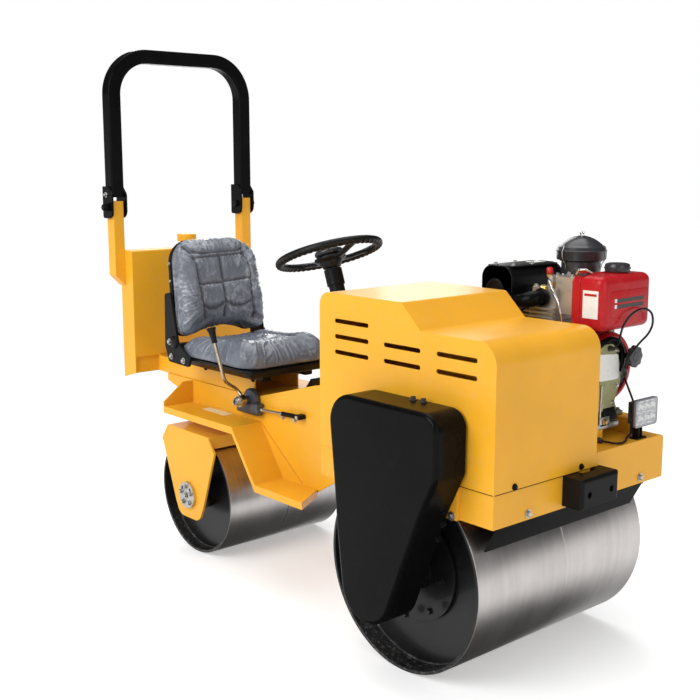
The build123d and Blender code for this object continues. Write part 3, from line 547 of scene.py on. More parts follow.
class Coat(Enum):
    """Every finish on the roller."""

    YELLOW = Paint("yellow_paint", (0.80, 0.385, 0.020), 0.36, coat=0.12, gloss=0.28)
    BLACK = Paint("black_gloss_paint", (0.004, 0.004, 0.0042), 0.22, coat=0.03, gloss=0.06, mottle=0.25,
        dust=0.02, dust_colour=(0.12, 0.12, 0.12))
    BLACK_MATT = Paint("black_matt_paint", (0.006, 0.006, 0.0064), 0.42, coat=0.0, gloss=0.14, peel=0.0004,
        mottle=0.25, dust=0.04, dust_colour=(0.12, 0.11, 0.10))
    RED = Paint("red_paint", (0.43, 0.009, 0.013), 0.26, coat=0.10, gloss=0.20, mottle=0.10, dust=0.04)
    DRUM_FRONT = RolledSteel("front_drum_steel", (0.66, 0.625, 0.61), 0.30, (0.619, 0.280), 0.280)
    DRUM_REAR = RolledSteel("rear_drum_steel", (0.66, 0.625, 0.61), 0.30, (-0.517, 0.2125), 0.2125)
    DRUM_BLACK = Paint("drum_inside_paint", (0.008, 0.008, 0.0085), 0.32, coat=0.15, gloss=0.3, peel=0.0008,
        mottle=0.35, dust=0.07, dust_colour=(0.16, 0.15, 0.14))
    WELD = Paint("dusty_weld_paint", (0.03, 0.03, 0.03), 0.5, coat=0.0, gloss=0.3, mottle=0.3, dust=0.8,
        dust_colour=(0.30, 0.30, 0.30))
    ZINC = Metal("zinc_plate", (0.66, 0.65, 0.62), 0.34)
    CHROME = Metal("chrome_plate", (0.78, 0.77, 0.76), 0.14, spread=0.06, bump=0.00003)
    ROD = Metal("yellow_chromate_rod", (0.60, 0.49, 0.34), 0.30)
    BRASS = Metal("brass_fitting", (0.62, 0.44, 0.16), 0.30)
    ALLOY = Casting("cast_alloy", (0.43, 0.41, 0.36), 0.46, metallic=0.75)
    IRON = Casting("painted_iron", (0.055, 0.055, 0.052), 0.55, metallic=0.2)
    LEVER_IRON = Casting("lever_iron", (0.10, 0.11, 0.13), 0.42, metallic=0.55)
    # The next two casting colours are grey alloy with a painted yellow reflection of the hood.
    SKIRT_WITH_PAINTED_REFLECTION = Casting("alloy_skirt_with_painted_reflection", (0.36, 0.35, 0.17), 0.50, metallic=0.1, depth=0.0002, grime=(0.16, 0.15,
        0.08))
    ALLOY_WITH_PAINTED_REFLECTION = Casting("alloy_cover_with_painted_reflection", (0.30, 0.285, 0.16), 0.48, metallic=0.25, depth=0.0002, grime=(0.20, 0.18,
        0.10))
    PLASTIC = Plastic("black_plastic", (0.006, 0.0065, 0.0085), 0.28, coat=0.02, gloss=0.06)
    SHELL = Plastic("seat_shell_plastic", (0.007, 0.007, 0.008), 0.45, grain=700, depth=0.0002, gloss=0.18)
    GRIP = Plastic("grip_rubber", (0.009, 0.009, 0.009), 0.42, grain=1100, gloss=0.22)
    CABLE = Plastic("cable_sheath", (0.007, 0.007, 0.008), 0.34, grain=1500, depth=0.00004)
    RED_PLASTIC = Plastic("red_cap_plastic", (0.50, 0.02, 0.02), 0.35, coat=0.2)
    VINYL = FilmedVinyl("filmed_grey_vinyl", (0.132, 0.146, 0.178), 0.40)
    LIGHT_PLATE = Plate("light_plate", (0.78, 0.77, 0.74), 0.42)
    DARK_PLATE = Plate("dark_plate", (0.03, 0.035, 0.032), 0.30)
    STEP_PLATE = Plate("step_tread_plate", (0.86, 0.78, 0.50), 0.5)
    REFLECTOR = Metal("lamp_reflector", (0.80, 0.80, 0.82), 0.16, spread=0.08)
    LAMP_FRAME = Plate("lamp_frame", (0.34, 0.35, 0.37), 0.32, metallic=0.5)
    DIODE = Plate("lamp_diode", (0.85, 0.80, 0.45), 0.3)
    LENS = ClearLens("lamp_window", (0.92, 0.94, 0.96), 0.05)

    @property
    def material(self) -> Material:
        """The finish's material."""
        return self.value.material()


# ------------------------------------------------------------------------------ mesh building
def turns(count: int) -> list[float]:
    """Angles spread evenly round a circle."""
    return [2 * pi * k / count for k in range(count)]


def headings(line: Sequence[Vector]) -> list[Vector]:
    """Direction of a line at each of its points."""
    return [(after - before).normalized() for before, after in zip([line[0], *line], [*line[1:], line[-1]])]


def skin(part: bmesh.types.BMesh, rings: Sequence[Sequence[bmesh.types.BMVert]], capped: bool = True) -> None:
    """Join rings of vertices one to the next; a ring of one vertex is a tip.

    Args:
        part: What the vertices belong to.
        rings: The rings, in order.
        capped: Whether the first and the last ring are closed with a face.
    """
    for lower, upper in zip(rings, rings[1:]):
        for k in range(max(len(lower), len(upper))):
            corners = list(dict.fromkeys((lower[k % len(lower)], lower[(k + 1) % len(lower)],
                upper[(k + 1) % len(upper)], upper[k % len(upper)])))
            if len(corners) >= 3:
                part.faces.new(corners)
    for ring in (rings[0], rings[-1]) if capped else ():
        part.faces.new(ring)


def soften(part: bmesh.types.BMesh, bevel: float, segments: int) -> bmesh.types.BMesh:
    """Round every edge of a part, where the radius isn't 0.

    Args:
        part: What is rounded.
        bevel: Edge radius.
        segments: Steps of the rounding.

    Returns:
        The same part.
    """
    if bevel > 0:
        bmesh.ops.bevel(part, geom=part.edges[:], offset=bevel, segments=segments, profile=0.5, affect="EDGES",
            clamp_overlap=True)
    return part


class Form:
    """Geometry of one piece, gathered in one bmesh with several finishes."""

    def __init__(self, name: str, coat: Coat) -> None:
        """Start an empty piece.

        Args:
            name: The piece's name.
            coat: The finish of what is added first.
        """
        self.name = name
        self.mesh = bmesh.new()
        self.coats = [coat]
        self.index = 0

    def use(self, coat: Coat) -> "Form":
        """Give what is added next another finish.

        Args:
            coat: The finish.

        Returns:
            This piece.
        """
        if coat not in self.coats:
            self.coats.append(coat)
        self.index = self.coats.index(coat)
        return self

    def take(self, other: bmesh.types.BMesh, matrix: Matrix | None = None) -> "Form":
        """Add another bmesh's faces with the current finish.

        Args:
            other: The faces to add; it is freed.
            matrix: Their place.

        Returns:
            This piece.
        """
        if matrix is not None:
            other.transform(matrix)
        for face in other.faces:
            face.material_index = self.index
        bmesh.ops.recalc_face_normals(other, faces=other.faces)
        spare = bpy.data.meshes.new("spare")
        other.to_mesh(spare)
        other.free()
        self.mesh.from_mesh(spare)
        bpy.data.meshes.remove(spare)
        return self

    def block(self, low: Vector, high: Vector, bevel: float = 0.0, segments: int = 2) -> "Form":
        """Add a box with rounded edges.

        Args:
            low: Its lowest corner.
            high: Its highest corner.
            bevel: Edge radius.
            segments: Steps of the rounding.

        Returns:
            This piece.
        """
        part = bmesh.new()
        bmesh.ops.create_cube(part, size=1.0)
        part.transform(Matrix.Translation((low + high) / 2) @ Matrix.Diagonal((*(high - low), 1.0)))
        return self.take(soften(part, bevel, segments))

    def lathe(self, profile: Pairs, origin: Vector, axis: Point = UP, sides: int = 48) -> "Form":
        """Turn a profile round an axis.

        Args:
            profile: (radius, height) steps in mm; radius 0 closes an end.
            origin: Where height 0 lies.
            axis: The turning axis.
            sides: Steps round the axis.

        Returns:
            This piece.
        """
        part = bmesh.new()
        skin(part, [[part.verts.new((radius * MM * cos(a), radius * MM * sin(a), height * MM))
            for a in (turns(sides) if radius > 0 else (0,))] for radius, height in profile], False)
        return self.take(part, placed(origin, axis))

    def tube(self, points: Iterable[Point], radius: float | Callable[[float], float],
            sides: int = 12) -> "Form":
        """Sweep a circle along points.

        Args:
            points: The centre line.
            radius: Its radius, or a function of the share of the way along.
            sides: Steps round the tube.

        Returns:
            This piece.
        """
        line = [Vector(point) for point in points]
        part = bmesh.new()
        normal = None
        rings = []
        for k, (point, ahead) in enumerate(zip(line, headings(line))):
            if normal is None:
                normal = ahead.orthogonal().normalized()
            normal = (normal - ahead * normal.dot(ahead)).normalized()
            side = ahead.cross(normal)
            size = radius(k / (len(line) - 1)) if callable(radius) else radius
            rings.append([part.verts.new(point + size * (cos(a) * normal + sin(a) * side))
                for a in turns(sides)])
        skin(part, rings)
        return self.take(part)

    def ribbon(self, points: Iterable[Point], up: Point, size: Callable[[float], tuple[float, float]],
            sides: int = 18) -> "Form":
        """Sweep a flat rounded section along points.

        Args:
            points: The centre line.
            up: The section's thin direction.
            size: Half width and half thickness by the share of the way along.
            sides: Steps round the section.

        Returns:
            This piece.
        """
        squareness = 0.6
        line = [Vector(point) for point in points]
        part = bmesh.new()
        rings = []
        for k, (point, ahead) in enumerate(zip(line, headings(line))):
            side = ahead.cross(Vector(up)).normalized()
            thin = side.cross(ahead).normalized()
            width, depth = size(k / (len(line) - 1))
            rings.append([part.verts.new(point + side * width * copysign(abs(cos(a)) ** squareness, cos(a))
                + thin * depth * copysign(abs(sin(a)) ** squareness, sin(a))) for a in turns(sides)])
        skin(part, rings)
        return self.take(part)

    def prism(self, outline: Pairs, depth: float, origin: Vector, bevel: float = 0.0, segments: int = 2,
            right: Point = LEFT) -> "Form":
        """Extrude an upright outline: forward, or to the right where its corners run ahead.

        Args:
            outline: Corners in mm along right and up from the origin.
            depth: Thickness along right x up.
            origin: Where (0, 0) lies.
            bevel: Edge radius.
            segments: Steps of the rounding.
            right: First direction of the outline.

        Returns:
            This piece.
        """
        way = Vector(right).cross(Vector(UP))
        part = bmesh.new()
        base = [part.verts.new(origin + Vector(right) * (a * MM) + Vector(UP) * (b * MM)) for a, b in outline]
        skin(part, [base, [part.verts.new(vert.co + way * depth) for vert in base]])
        bmesh.ops.recalc_face_normals(part, faces=part.faces)
        return self.take(soften(part, bevel, segments))

    def piece(self, smooth: float = 32.0, stands_for: str = "", body: str = "chassis") -> Thing:
        """Turn the geometry into an object that rides on a body.

        Args:
            smooth: Edges sharper than this many degrees stay hard.
            stands_for: The solid that it takes the place of, if any.
            body: The body that carries it.

        Returns:
            The finished object.
        """
        mesh = bpy.data.meshes.new(self.name)
        self.mesh.to_mesh(mesh)
        self.mesh.free()
        for coat in self.coats:
            mesh.materials.append(coat.material)
        made = settle(linked(self.name, mesh), body, smooth)
        if stands_for:
            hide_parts(stands_for)
        return made


def linked(name: str, data: bpy.types.ID) -> Thing:
    """New object in the scene, at the origin.

    Args:
        name: Its name.
        data: Its mesh, curve, lamp or camera.

    Returns:
        The object.
    """
    made = bpy.data.objects.new(name, data)
    bpy.context.scene.collection.objects.link(made)
    return made


def plain_copy(made: Thing) -> Mesh:
    """Mesh of an object with all its modifiers worked in."""
    graph = bpy.context.evaluated_depsgraph_get()
    return bpy.data.meshes.new_from_object(made.evaluated_get(graph), depsgraph=graph)


def settle(made: Thing, body: str, smooth: float = 32.0) -> Thing:
    """Shade a finished object and let it ride on its body.

    Args:
        made: The object, in place.
        body: The body that carries it.
        smooth: Edges sharper than this many degrees stay hard.

    Returns:
        The same object.
    """
    made.data.shade_smooth()
    made.data.set_sharp_from_angle(angle=radians(smooth))
    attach(made, body)
    log.info("%s on %s: %d faces", made.name, body, len(made.data.polygons))
    return made


def placed(origin: Point, axis: Point) -> Matrix:
    """Matrix that puts local +Z along an axis at an origin."""
    turn = Vector(UP).rotation_difference(Vector(axis).normalized()).to_matrix().to_4x4()
    return Matrix.Translation(Vector(origin)) @ turn


def flowing(points: Sequence[Point], steps: int = 8) -> list[Vector]:
    """Smooth line through points, for rigid pipes and rods.

    Args:
        points: What the line passes through.
        steps: Pieces between two points.

    Returns:
        Points along the line.
    """
    line = [Vector(point) for point in points]
    ends = [2 * line[0] - line[1], *line, 2 * line[-1] - line[-2]]
    made = []
    for before, start, end, after in zip(ends, ends[1:], ends[2:], ends[3:]):
        for k in range(steps):
            t = k / steps
            made.append(0.5 * ((2 * start) + (end - before) * t + (2 * before - 5 * start + 4 * end - after)
                * t ** 2 + (3 * start - before - 3 * end + after) * t ** 3))
    return [*made, line[-1]]


# ------------------------------------------------------------------------------ geometry nodes
class GeoTree(Tree):
    """A Geometry Nodes tree with named inputs, applied to a small source mesh."""

    def __init__(self, name: str, numbers: Sequence[str], whole: Sequence[str] = ()) -> None:
        """Make the group and its interface.

        Args:
            name: The tree's name.
            numbers: Its inputs.
            whole: Its inputs that are whole numbers.
        """
        self.group = bpy.data.node_groups.new(name, "GeometryNodeTree")
        super().__init__(self.group)
        self.keys = {}
        for kind, labels in (("Geometry", ["Geometry"]), ("Float", numbers), ("Int", whole),
                ("Material", ["Material"])):
            for label in labels:
                socket = self.group.interface.new_socket(label, in_out="INPUT", socket_type="NodeSocket" + kind)
                self.keys[label] = socket.identifier
        self.group.interface.new_socket("Geometry", in_out="OUTPUT", socket_type="NodeSocketGeometry")
        self.source = self.node("NodeGroupInput")
        self.result = self.node("NodeGroupOutput")

    def given(self, label: str) -> Num:
        """One of the tree's own inputs."""
        return Num(self, self.source.outputs[label])

    def geo(self, kind: str, settings: dict[str, Any] | None = None, **sockets: Any) -> Socket:
        """Add one geometry node.

        Args:
            kind: The node's type, without its first two words.
            settings: Properties of the node.
            sockets: Its inputs, with underscores for spaces.

        Returns:
            Its first output.
        """
        fed = {name.replace("_", " "): value for name, value in sockets.items()}
        return self.node("GeometryNode" + kind, settings, fed).outputs[0]

    def end(self, geometry: Socket) -> "GeoTree":
        """Close the tree with Realize Instances and Set Material.

        Args:
            geometry: What the tree makes.

        Returns:
            This tree.
        """
        real = self.geo("RealizeInstances", Geometry=geometry)
        self.feed(self.result.inputs[0], self.geo("SetMaterial", Geometry=real,
            Material=self.given("Material")))
        return self

    def make(self, name: str, source: Mesh, coat: Coat, body: str, slot: str, smooth: float = 32.0,
            **values: Any) -> Thing:
        """Run the tree on a source mesh and keep the plain result.

        Args:
            name: The piece's name.
            source: Points or edges that the tree works on.
            coat: The finish.
            body: The body that carries the piece.
            slot: Not used.
            smooth: Edges sharper than this many degrees stay hard.
            values: The tree's inputs, with underscores for spaces.

        Returns:
            The finished object.
        """
        seed = linked(name + "_seed", source)
        modifier = seed.modifiers.new("tree", "NODES")
        modifier.node_group = self.group
        modifier[self.keys["Material"]] = coat.material
        for label, value in values.items():
            modifier[self.keys[label.replace("_", " ")]] = value
        seed.update_tag()
        mesh = plain_copy(seed)
        mesh.name = name
        seed.modifiers.remove(modifier)
        bpy.data.objects.remove(seed)
        return settle(linked(name, mesh), body, smooth)


@dataclass(frozen=True)
class Spot:
    """A place and a direction for one fastener or rib."""

    at: Point
    along: Point


def spots_mesh(spots: Sequence[Spot]) -> Mesh:
    """Mesh of loose points with their directions as an attribute.

    Args:
        spots: The places.

    Returns:
        The mesh.
    """
    mesh = bpy.data.meshes.new("spots")
    mesh.from_pydata([tuple(spot.at) for spot in spots], [], [])
    axis = mesh.attributes.new("axis", "FLOAT_VECTOR", "POINT")
    axis.data.foreach_set("vector", [value for spot in spots for value in Vector(spot.along).normalized()])
    return mesh


def line_mesh(lines: Sequence[Sequence[Point]]) -> Mesh:
    """Mesh of open runs of edges.

    Args:
        lines: The points of each run.

    Returns:
        The mesh.
    """
    mesh = bpy.data.meshes.new("lines")
    points, edges = [], []
    for line in lines:
        edges += [(len(points) + k, len(points) + k + 1) for k in range(len(line) - 1)]
        points += [tuple(point) for point in line]
    mesh.from_pydata(points, edges, [])
    return mesh


class GeoKit:
    """The Geometry Nodes trees that repeat small pieces."""

    def __init__(self) -> None:
        """Build each tree once."""
        self.bolts = self.bolt_tree()
        self.welds = self.weld_tree()
        self.ribs = self.rib_tree()
        self.coil = self.coil_tree()
        self.rim = self.rim_tree()

    def fasten(self, name: str, spots: Sequence[Spot], radius: float, height: float, washer: float = 0.0,
            coat: Coat = Coat.ZINC, body: str = "chassis", sides: int = 6, crown: float = 0.85) -> None:
        """Set a group of like bolt heads.

        Args:
            name: The group's name.
            spots: Their places.
            radius: Head radius in mm.
            height: Head height in mm.
            washer: Washer radius in mm; 0 is the usual share of the head's.
            coat: Their finish.
            body: The body that carries them.
            sides: Sides of the head.
            crown: Share of the radius that is left on top.
        """
        usual_washer = 1.45
        self.bolts.make(name, spots_mesh(spots), coat, body, "zinc_steel" if coat == Coat.ZINC
            else "black_paint", Radius=radius * MM, Height=height * MM, Sides=sides, Crown=crown,
            Washer=(washer or radius * usual_washer) * MM)

    @staticmethod
    def on_spots(tree: GeoTree, shape: Socket) -> Socket:
        """Set a shape on each point, turned to the point's axis.

        Args:
            tree: The tree that it belongs to.
            shape: The shape.

        Returns:
            All copies.
        """
        points = tree.geo("MeshToPoints", Mesh=tree.given("Geometry"))
        axis = tree.geo("InputNamedAttribute", {"data_type": "FLOAT_VECTOR"}, Name="axis")
        turn = tree.node("FunctionNodeAlignRotationToVector", {"axis": "Z"}, {"Vector": axis}).outputs[0]
        return tree.geo("InstanceOnPoints", Points=points, Instance=shape, Rotation=turn)

    @staticmethod
    def lifted(tree: GeoTree, shape: Socket, height: Any) -> Socket:
        """Move a shape up by a height."""
        way = tree.node("ShaderNodeCombineXYZ", None, {"Z": height}).outputs[0]
        return tree.geo("Transform", Geometry=shape, Translation=way)

    def bolt_tree(self) -> GeoTree:
        """Heads with a bevelled crown on a washer.

        Returns:
            The tree.
        """
        tree = GeoTree("bolt_heads", ["Radius", "Height", "Washer", "Crown"], ["Sides"])
        radius, height, sides = (tree.given(label) for label in ("Radius", "Height", "Sides"))
        washer_height, straight = 0.0018, 0.75
        washer = tree.geo("MeshCylinder", Vertices=24, Radius=tree.given("Washer"), Depth=washer_height)
        shank = tree.geo("MeshCylinder", Vertices=sides, Radius=radius, Depth=height * straight)
        crown = tree.geo("MeshCone", Vertices=sides, Radius_Bottom=radius, Radius_Top=radius
            * tree.given("Crown"), Depth=height * (1 - straight))
        whole = tree.node("GeometryNodeJoinGeometry")
        for shape, lift in ((washer, washer_height / 2), (shank, height * (straight / 2) + washer_height),
                (crown, height * straight + washer_height)):
            tree.feed(whole.inputs[0], self.lifted(tree, shape, lift))
        return tree.end(self.on_spots(tree, whole.outputs[0]))

    def weld_tree(self) -> GeoTree:
        """A row of overlapping beads along edges.

        Returns:
            The tree.
        """
        tree = GeoTree("weld_beads", ["Size", "Step"], ["Seed"])
        curve = tree.geo("MeshToCurve", Mesh=tree.given("Geometry"))
        even = tree.geo("ResampleCurve", {"mode": "LENGTH"}, Curve=curve, Length=tree.given("Step"))
        bead = tree.geo("MeshIcoSphere", Radius=tree.given("Size"), Subdivisions=2)
        scale = tree.node("FunctionNodeRandomValue", {"data_type": "FLOAT"}, {2: 0.82, 3: 1.12,
            "Seed": tree.given("Seed")})
        return tree.end(tree.geo("InstanceOnPoints", Points=even, Instance=bead, Scale=scale.outputs[1]))

    def rib_tree(self) -> GeoTree:
        """Small bars, one on each point.

        Returns:
            The tree.
        """
        tree = GeoTree("ribs", ["Width", "Length", "Height"])
        size = tree.node("ShaderNodeCombineXYZ", None, {"X": tree.given("Width"), "Y": tree.given("Length"),
            "Z": tree.given("Height")})
        return tree.end(self.on_spots(tree, tree.geo("MeshCube", Size=size.outputs[0])))

    def coil_tree(self) -> GeoTree:
        """A wound spring standing on its point.

        Returns:
            The tree.
        """
        tree = GeoTree("coil_spring", ["Radius", "Top Radius", "Wire", "Height", "Turns"])
        spiral = tree.geo("CurveSpiral", Resolution=26, Rotations=tree.given("Turns"),
            Start_Radius=tree.given("Radius"), End_Radius=tree.given("Top Radius"), Height=tree.given("Height"))
        wire = tree.geo("CurvePrimitiveCircle", Resolution=8, Radius=tree.given("Wire"))
        return tree.end(self.on_spots(tree, tree.geo("CurveToMesh", Curve=spiral, Profile_Curve=wire,
            Fill_Caps=True)))

    def rim_tree(self) -> GeoTree:
        """A steering wheel's rim with finger grips along its lower side.

        Returns:
            The tree.
        """
        tree = GeoTree("grip_rim", ["Radius", "Thickness", "Grips", "Depth"])
        circle = tree.geo("CurvePrimitiveCircle", Resolution=352, Radius=tree.given("Radius"))
        section = tree.geo("CurvePrimitiveCircle", Resolution=20, Radius=tree.given("Thickness"))
        ring = tree.geo("CurveToMesh", Curve=circle, Profile_Curve=section)
        place = tree.node("ShaderNodeSeparateXYZ", None, {0: tree.geo("InputPosition")}).outputs
        below = 1.0 - Num(tree, place[2]).within(-0.009, 0.003)
        turn = tree.math("ARCTAN2", place[1], place[0])
        wave = (turn * tree.given("Grips")).sine() * below * tree.given("Depth")
        shift = tree.node("ShaderNodeVectorMath", {"operation": "SCALE"}, {0: tree.geo("InputNormal"),
            "Scale": wave})
        return tree.end(self.on_spots(tree, tree.geo("SetPosition", Geometry=ring, Offset=shift.outputs[0])))


# ------------------------------------------------------------------------------ studio
@dataclass
class Studio:
    """Camera, lamps, world and floor."""

    eye: Point = (2.6310, -2.2330, 1.360)
    yaw: float = 48.84
    pitch: float = 9.78
    lens: float = 56.47
    target: Point = (0.1, 0.0, 0.6)
    floor_size: float = 40.0
    sky: float = 0.62
    lamps: tuple[tuple[str, Point, float, float], ...] = (  # name, place, size, power
        ("key", (0.2, -4.4, 3.2), 3.2, 172.0), ("front", (4.6, -0.6, 2.0), 2.6, 28.0),
        ("top", (-0.4, 0.4, 4.8), 3.5, 92.0), ("back", (-3.4, 2.6, 2.6), 2.6, 60.0))

    def build(self) -> None:
        """Set up the camera first, then light and floor."""
        scene = bpy.context.scene
        scene.view_settings.view_transform = "Standard"
        data = bpy.data.cameras.new("camera")
        data.lens, data.sensor_width = self.lens, 36.0
        data.clip_end = 100.0
        camera = linked("camera", data)
        yaw, pitch = radians(self.yaw), radians(self.pitch)
        look = Vector((-sin(yaw) * cos(pitch), cos(yaw) * cos(pitch), -sin(pitch)))
        camera.matrix_world = (Matrix.Translation(Vector(self.eye)) @ look.to_track_quat("-Z",
            "Y").to_matrix().to_4x4())
        scene.camera = camera
        self.light()
        self.ground()

    def light(self) -> None:
        """Soft lamps and a plain world that is white only where it is seen."""
        for name, place, size, power in self.lamps:
            data = bpy.data.lights.new(name, "AREA")
            data.shape = "SQUARE"
            data.size, data.energy = size, power
            lamp = linked(name, data)
            aim = Vector(self.target) - Vector(place)
            lamp.matrix_world = Matrix.Translation(Vector(place)) @ aim.to_track_quat("-Z",
                "Y").to_matrix().to_4x4()
        world = bpy.data.worlds.new("studio")
        bpy.context.scene.world = world
        world.use_nodes = True
        world.cycles.sampling_method = "NONE"
        world.node_tree.nodes.clear()
        tree = Tree(world.node_tree)
        ray = tree.node("ShaderNodeLightPath")
        way = tree.node("ShaderNodeTexCoord").outputs["Generated"]
        height = tree.out("ShaderNodeSeparateXYZ", None, {0: way}, 2)
        band = (height.within(-0.68, -0.42) * (1.0 - height.within(-0.16, 0.14))
            + height.within(0.72, 0.95) * 0.30)
        mirrored = band * 0.98 + 0.05
        gloss = Num(tree, ray.outputs["Is Glossy Ray"])
        seen = tree.math("MAXIMUM", ray.outputs["Is Camera Ray"], ray.outputs["Is Transmission Ray"])
        lit = gloss * mirrored + (1.0 - gloss) * self.sky
        strength = seen + (1.0 - seen) * lit
        light = tree.node("ShaderNodeBackground", None, {"Color": (1.0, 1.0, 1.0), "Strength": strength})
        output = tree.node("ShaderNodeOutputWorld")
        tree.feed(output.inputs[0], light.outputs[0])

    def ground(self) -> None:
        """A plain pale floor that keeps the shadow."""
        mesh = bpy.data.meshes.new("floor")
        half = self.floor_size / 2
        mesh.from_pydata([(-half, -half, 0), (half, -half, 0), (half, half, 0), (-half, half, 0)], [],
            [(0, 1, 2, 3)])
        tree = ShaderTree("floor_white")
        ray = tree.node("ShaderNodeLightPath")
        seen = Num(tree, ray.outputs["Is Camera Ray"])
        gloss = Num(tree, ray.outputs["Is Glossy Ray"])
        reach = tree.out("ShaderNodeVectorMath", {"operation": "LENGTH"}, {0: tree.place}, "Value")
        far = reach.within(1.6, 3.6)
        tree.dress(Base_Color=tree.mix(seen * far, (0.90, 0.90, 0.90), (0.0, 0.0, 0.0)), Roughness=0.9,
            Emission_Color=(1.0, 1.0, 1.0), Emission_Strength=seen * (far * 0.75 + 0.25))
        clear = tree.node("ShaderNodeBsdfTransparent")
        shown = tree.node("ShaderNodeMixShader", None, {0: gloss, 1: tree.shader.outputs[0],
            2: clear.outputs[0]})
        output = next(node for node in tree.tree.nodes if node.type == "OUTPUT_MATERIAL")
        tree.feed(output.inputs[0], shown.outputs[0])
        mesh.materials.append(tree.material)
        linked("floor", mesh)


# ------------------------------------------------------------------------------ places
AXLE_LOW, AXLE_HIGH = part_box("front_drum_shell")
AXLE = (AXLE_LOW + AXLE_HIGH) / 2


def at(x: float, y: float, z: float) -> Vector:
    """Place given in mm forward of the front axle, left of the drum's middle and above the ground."""
    return Vector((AXLE.x + x * MM, AXLE.y + y * MM, z * MM))


def step(value: float, low: float, high: float) -> float:
    """Smooth step from 0 at low to 1 at high, or the other way round."""
    share = min(1.0, max(0.0, (value - low) / (high - low)))
    return share * share * (3 - 2 * share)


def filleted(corners: Sequence[tuple[float, float, float]], steps: int = 8) -> list[Vector]:
    """Closed outline whose corners (x, y, radius) are rounded.

    Args:
        corners: Corners with their radii, in order.
        steps: Pieces of each rounding.

    Returns:
        The outline's points.
    """
    made = []
    for k, (x, y, radius) in enumerate(corners):
        here = Vector((x, y))
        before = (Vector(corners[k - 1][:2]) - here).normalized()
        after = (Vector(corners[(k + 1) % len(corners)][:2]) - here).normalized()
        half = before.angle(after) / 2
        centre = here + (before + after).normalized() * radius / sin(half)
        start = here + before * radius / tan(half) - centre
        end = here + after * radius / tan(half) - centre
        turn = start.angle(end)
        for j in range(steps + 1):
            share = j / steps
            made.append(centre + (start * sin((1 - share) * turn) + end * sin(share * turn)) / sin(turn))
    return made


def evenly(points: Sequence[Vector], count: int) -> list[Vector]:
    """Points spread evenly along a closed outline.

    Args:
        points: The outline's corners.
        count: How many points to make.

    Returns:
        The new points.
    """
    closed = [*points, points[0]]
    reach = [0.0]
    for start, end in zip(closed, closed[1:]):
        reach.append(reach[-1] + (end - start).length)
    made, k = [], 0
    for j in range(count):
        goal = reach[-1] * j / count
        while reach[k + 1] < goal:
            k += 1
        made.append(closed[k].lerp(closed[k + 1], (goal - reach[k]) / max(reach[k + 1] - reach[k], 1e-6)))
    return made


def between(value: float, table: Sequence[tuple[float, float]]) -> float:
    """Value of a broken line given by (place, height) pairs.

    Args:
        value: The place.
        table: The pairs, in order.

    Returns:
        The height there.
    """
    for (start, low), (end, high) in zip(table, table[1:]):
        if value <= end:
            share = min(1.0, max(0.0, (value - start) / (end - start)))
            return low + (high - low) * share
    return table[-1][1]


# ------------------------------------------------------------------------------ seat
@dataclass(frozen=True)
class Seam:
    """A sewn line on a cushion, in the cushion's own millimetres."""

    points: tuple[tuple[float, float], ...]
    depth: float = 5.0
    width: float = 6.0

    def distance(self, s: float, t: float) -> float:
        """Distance of a place from the seam.

        Args:
            s: Place across the cushion.
            t: Place along the cushion.

        Returns:
            The distance in mm.
        """
        best = 1e9
        for (x0, y0), (x1, y1) in zip(self.points, self.points[1:]):
            dx, dy = x1 - x0, y1 - y0
            share = min(1.0, max(0.0, ((s - x0) * dx + (t - y0) * dy) / (dx * dx + dy * dy)))
            best = min(best, hypot(s - x0 - share * dx, t - y0 - share * dy))
        return best


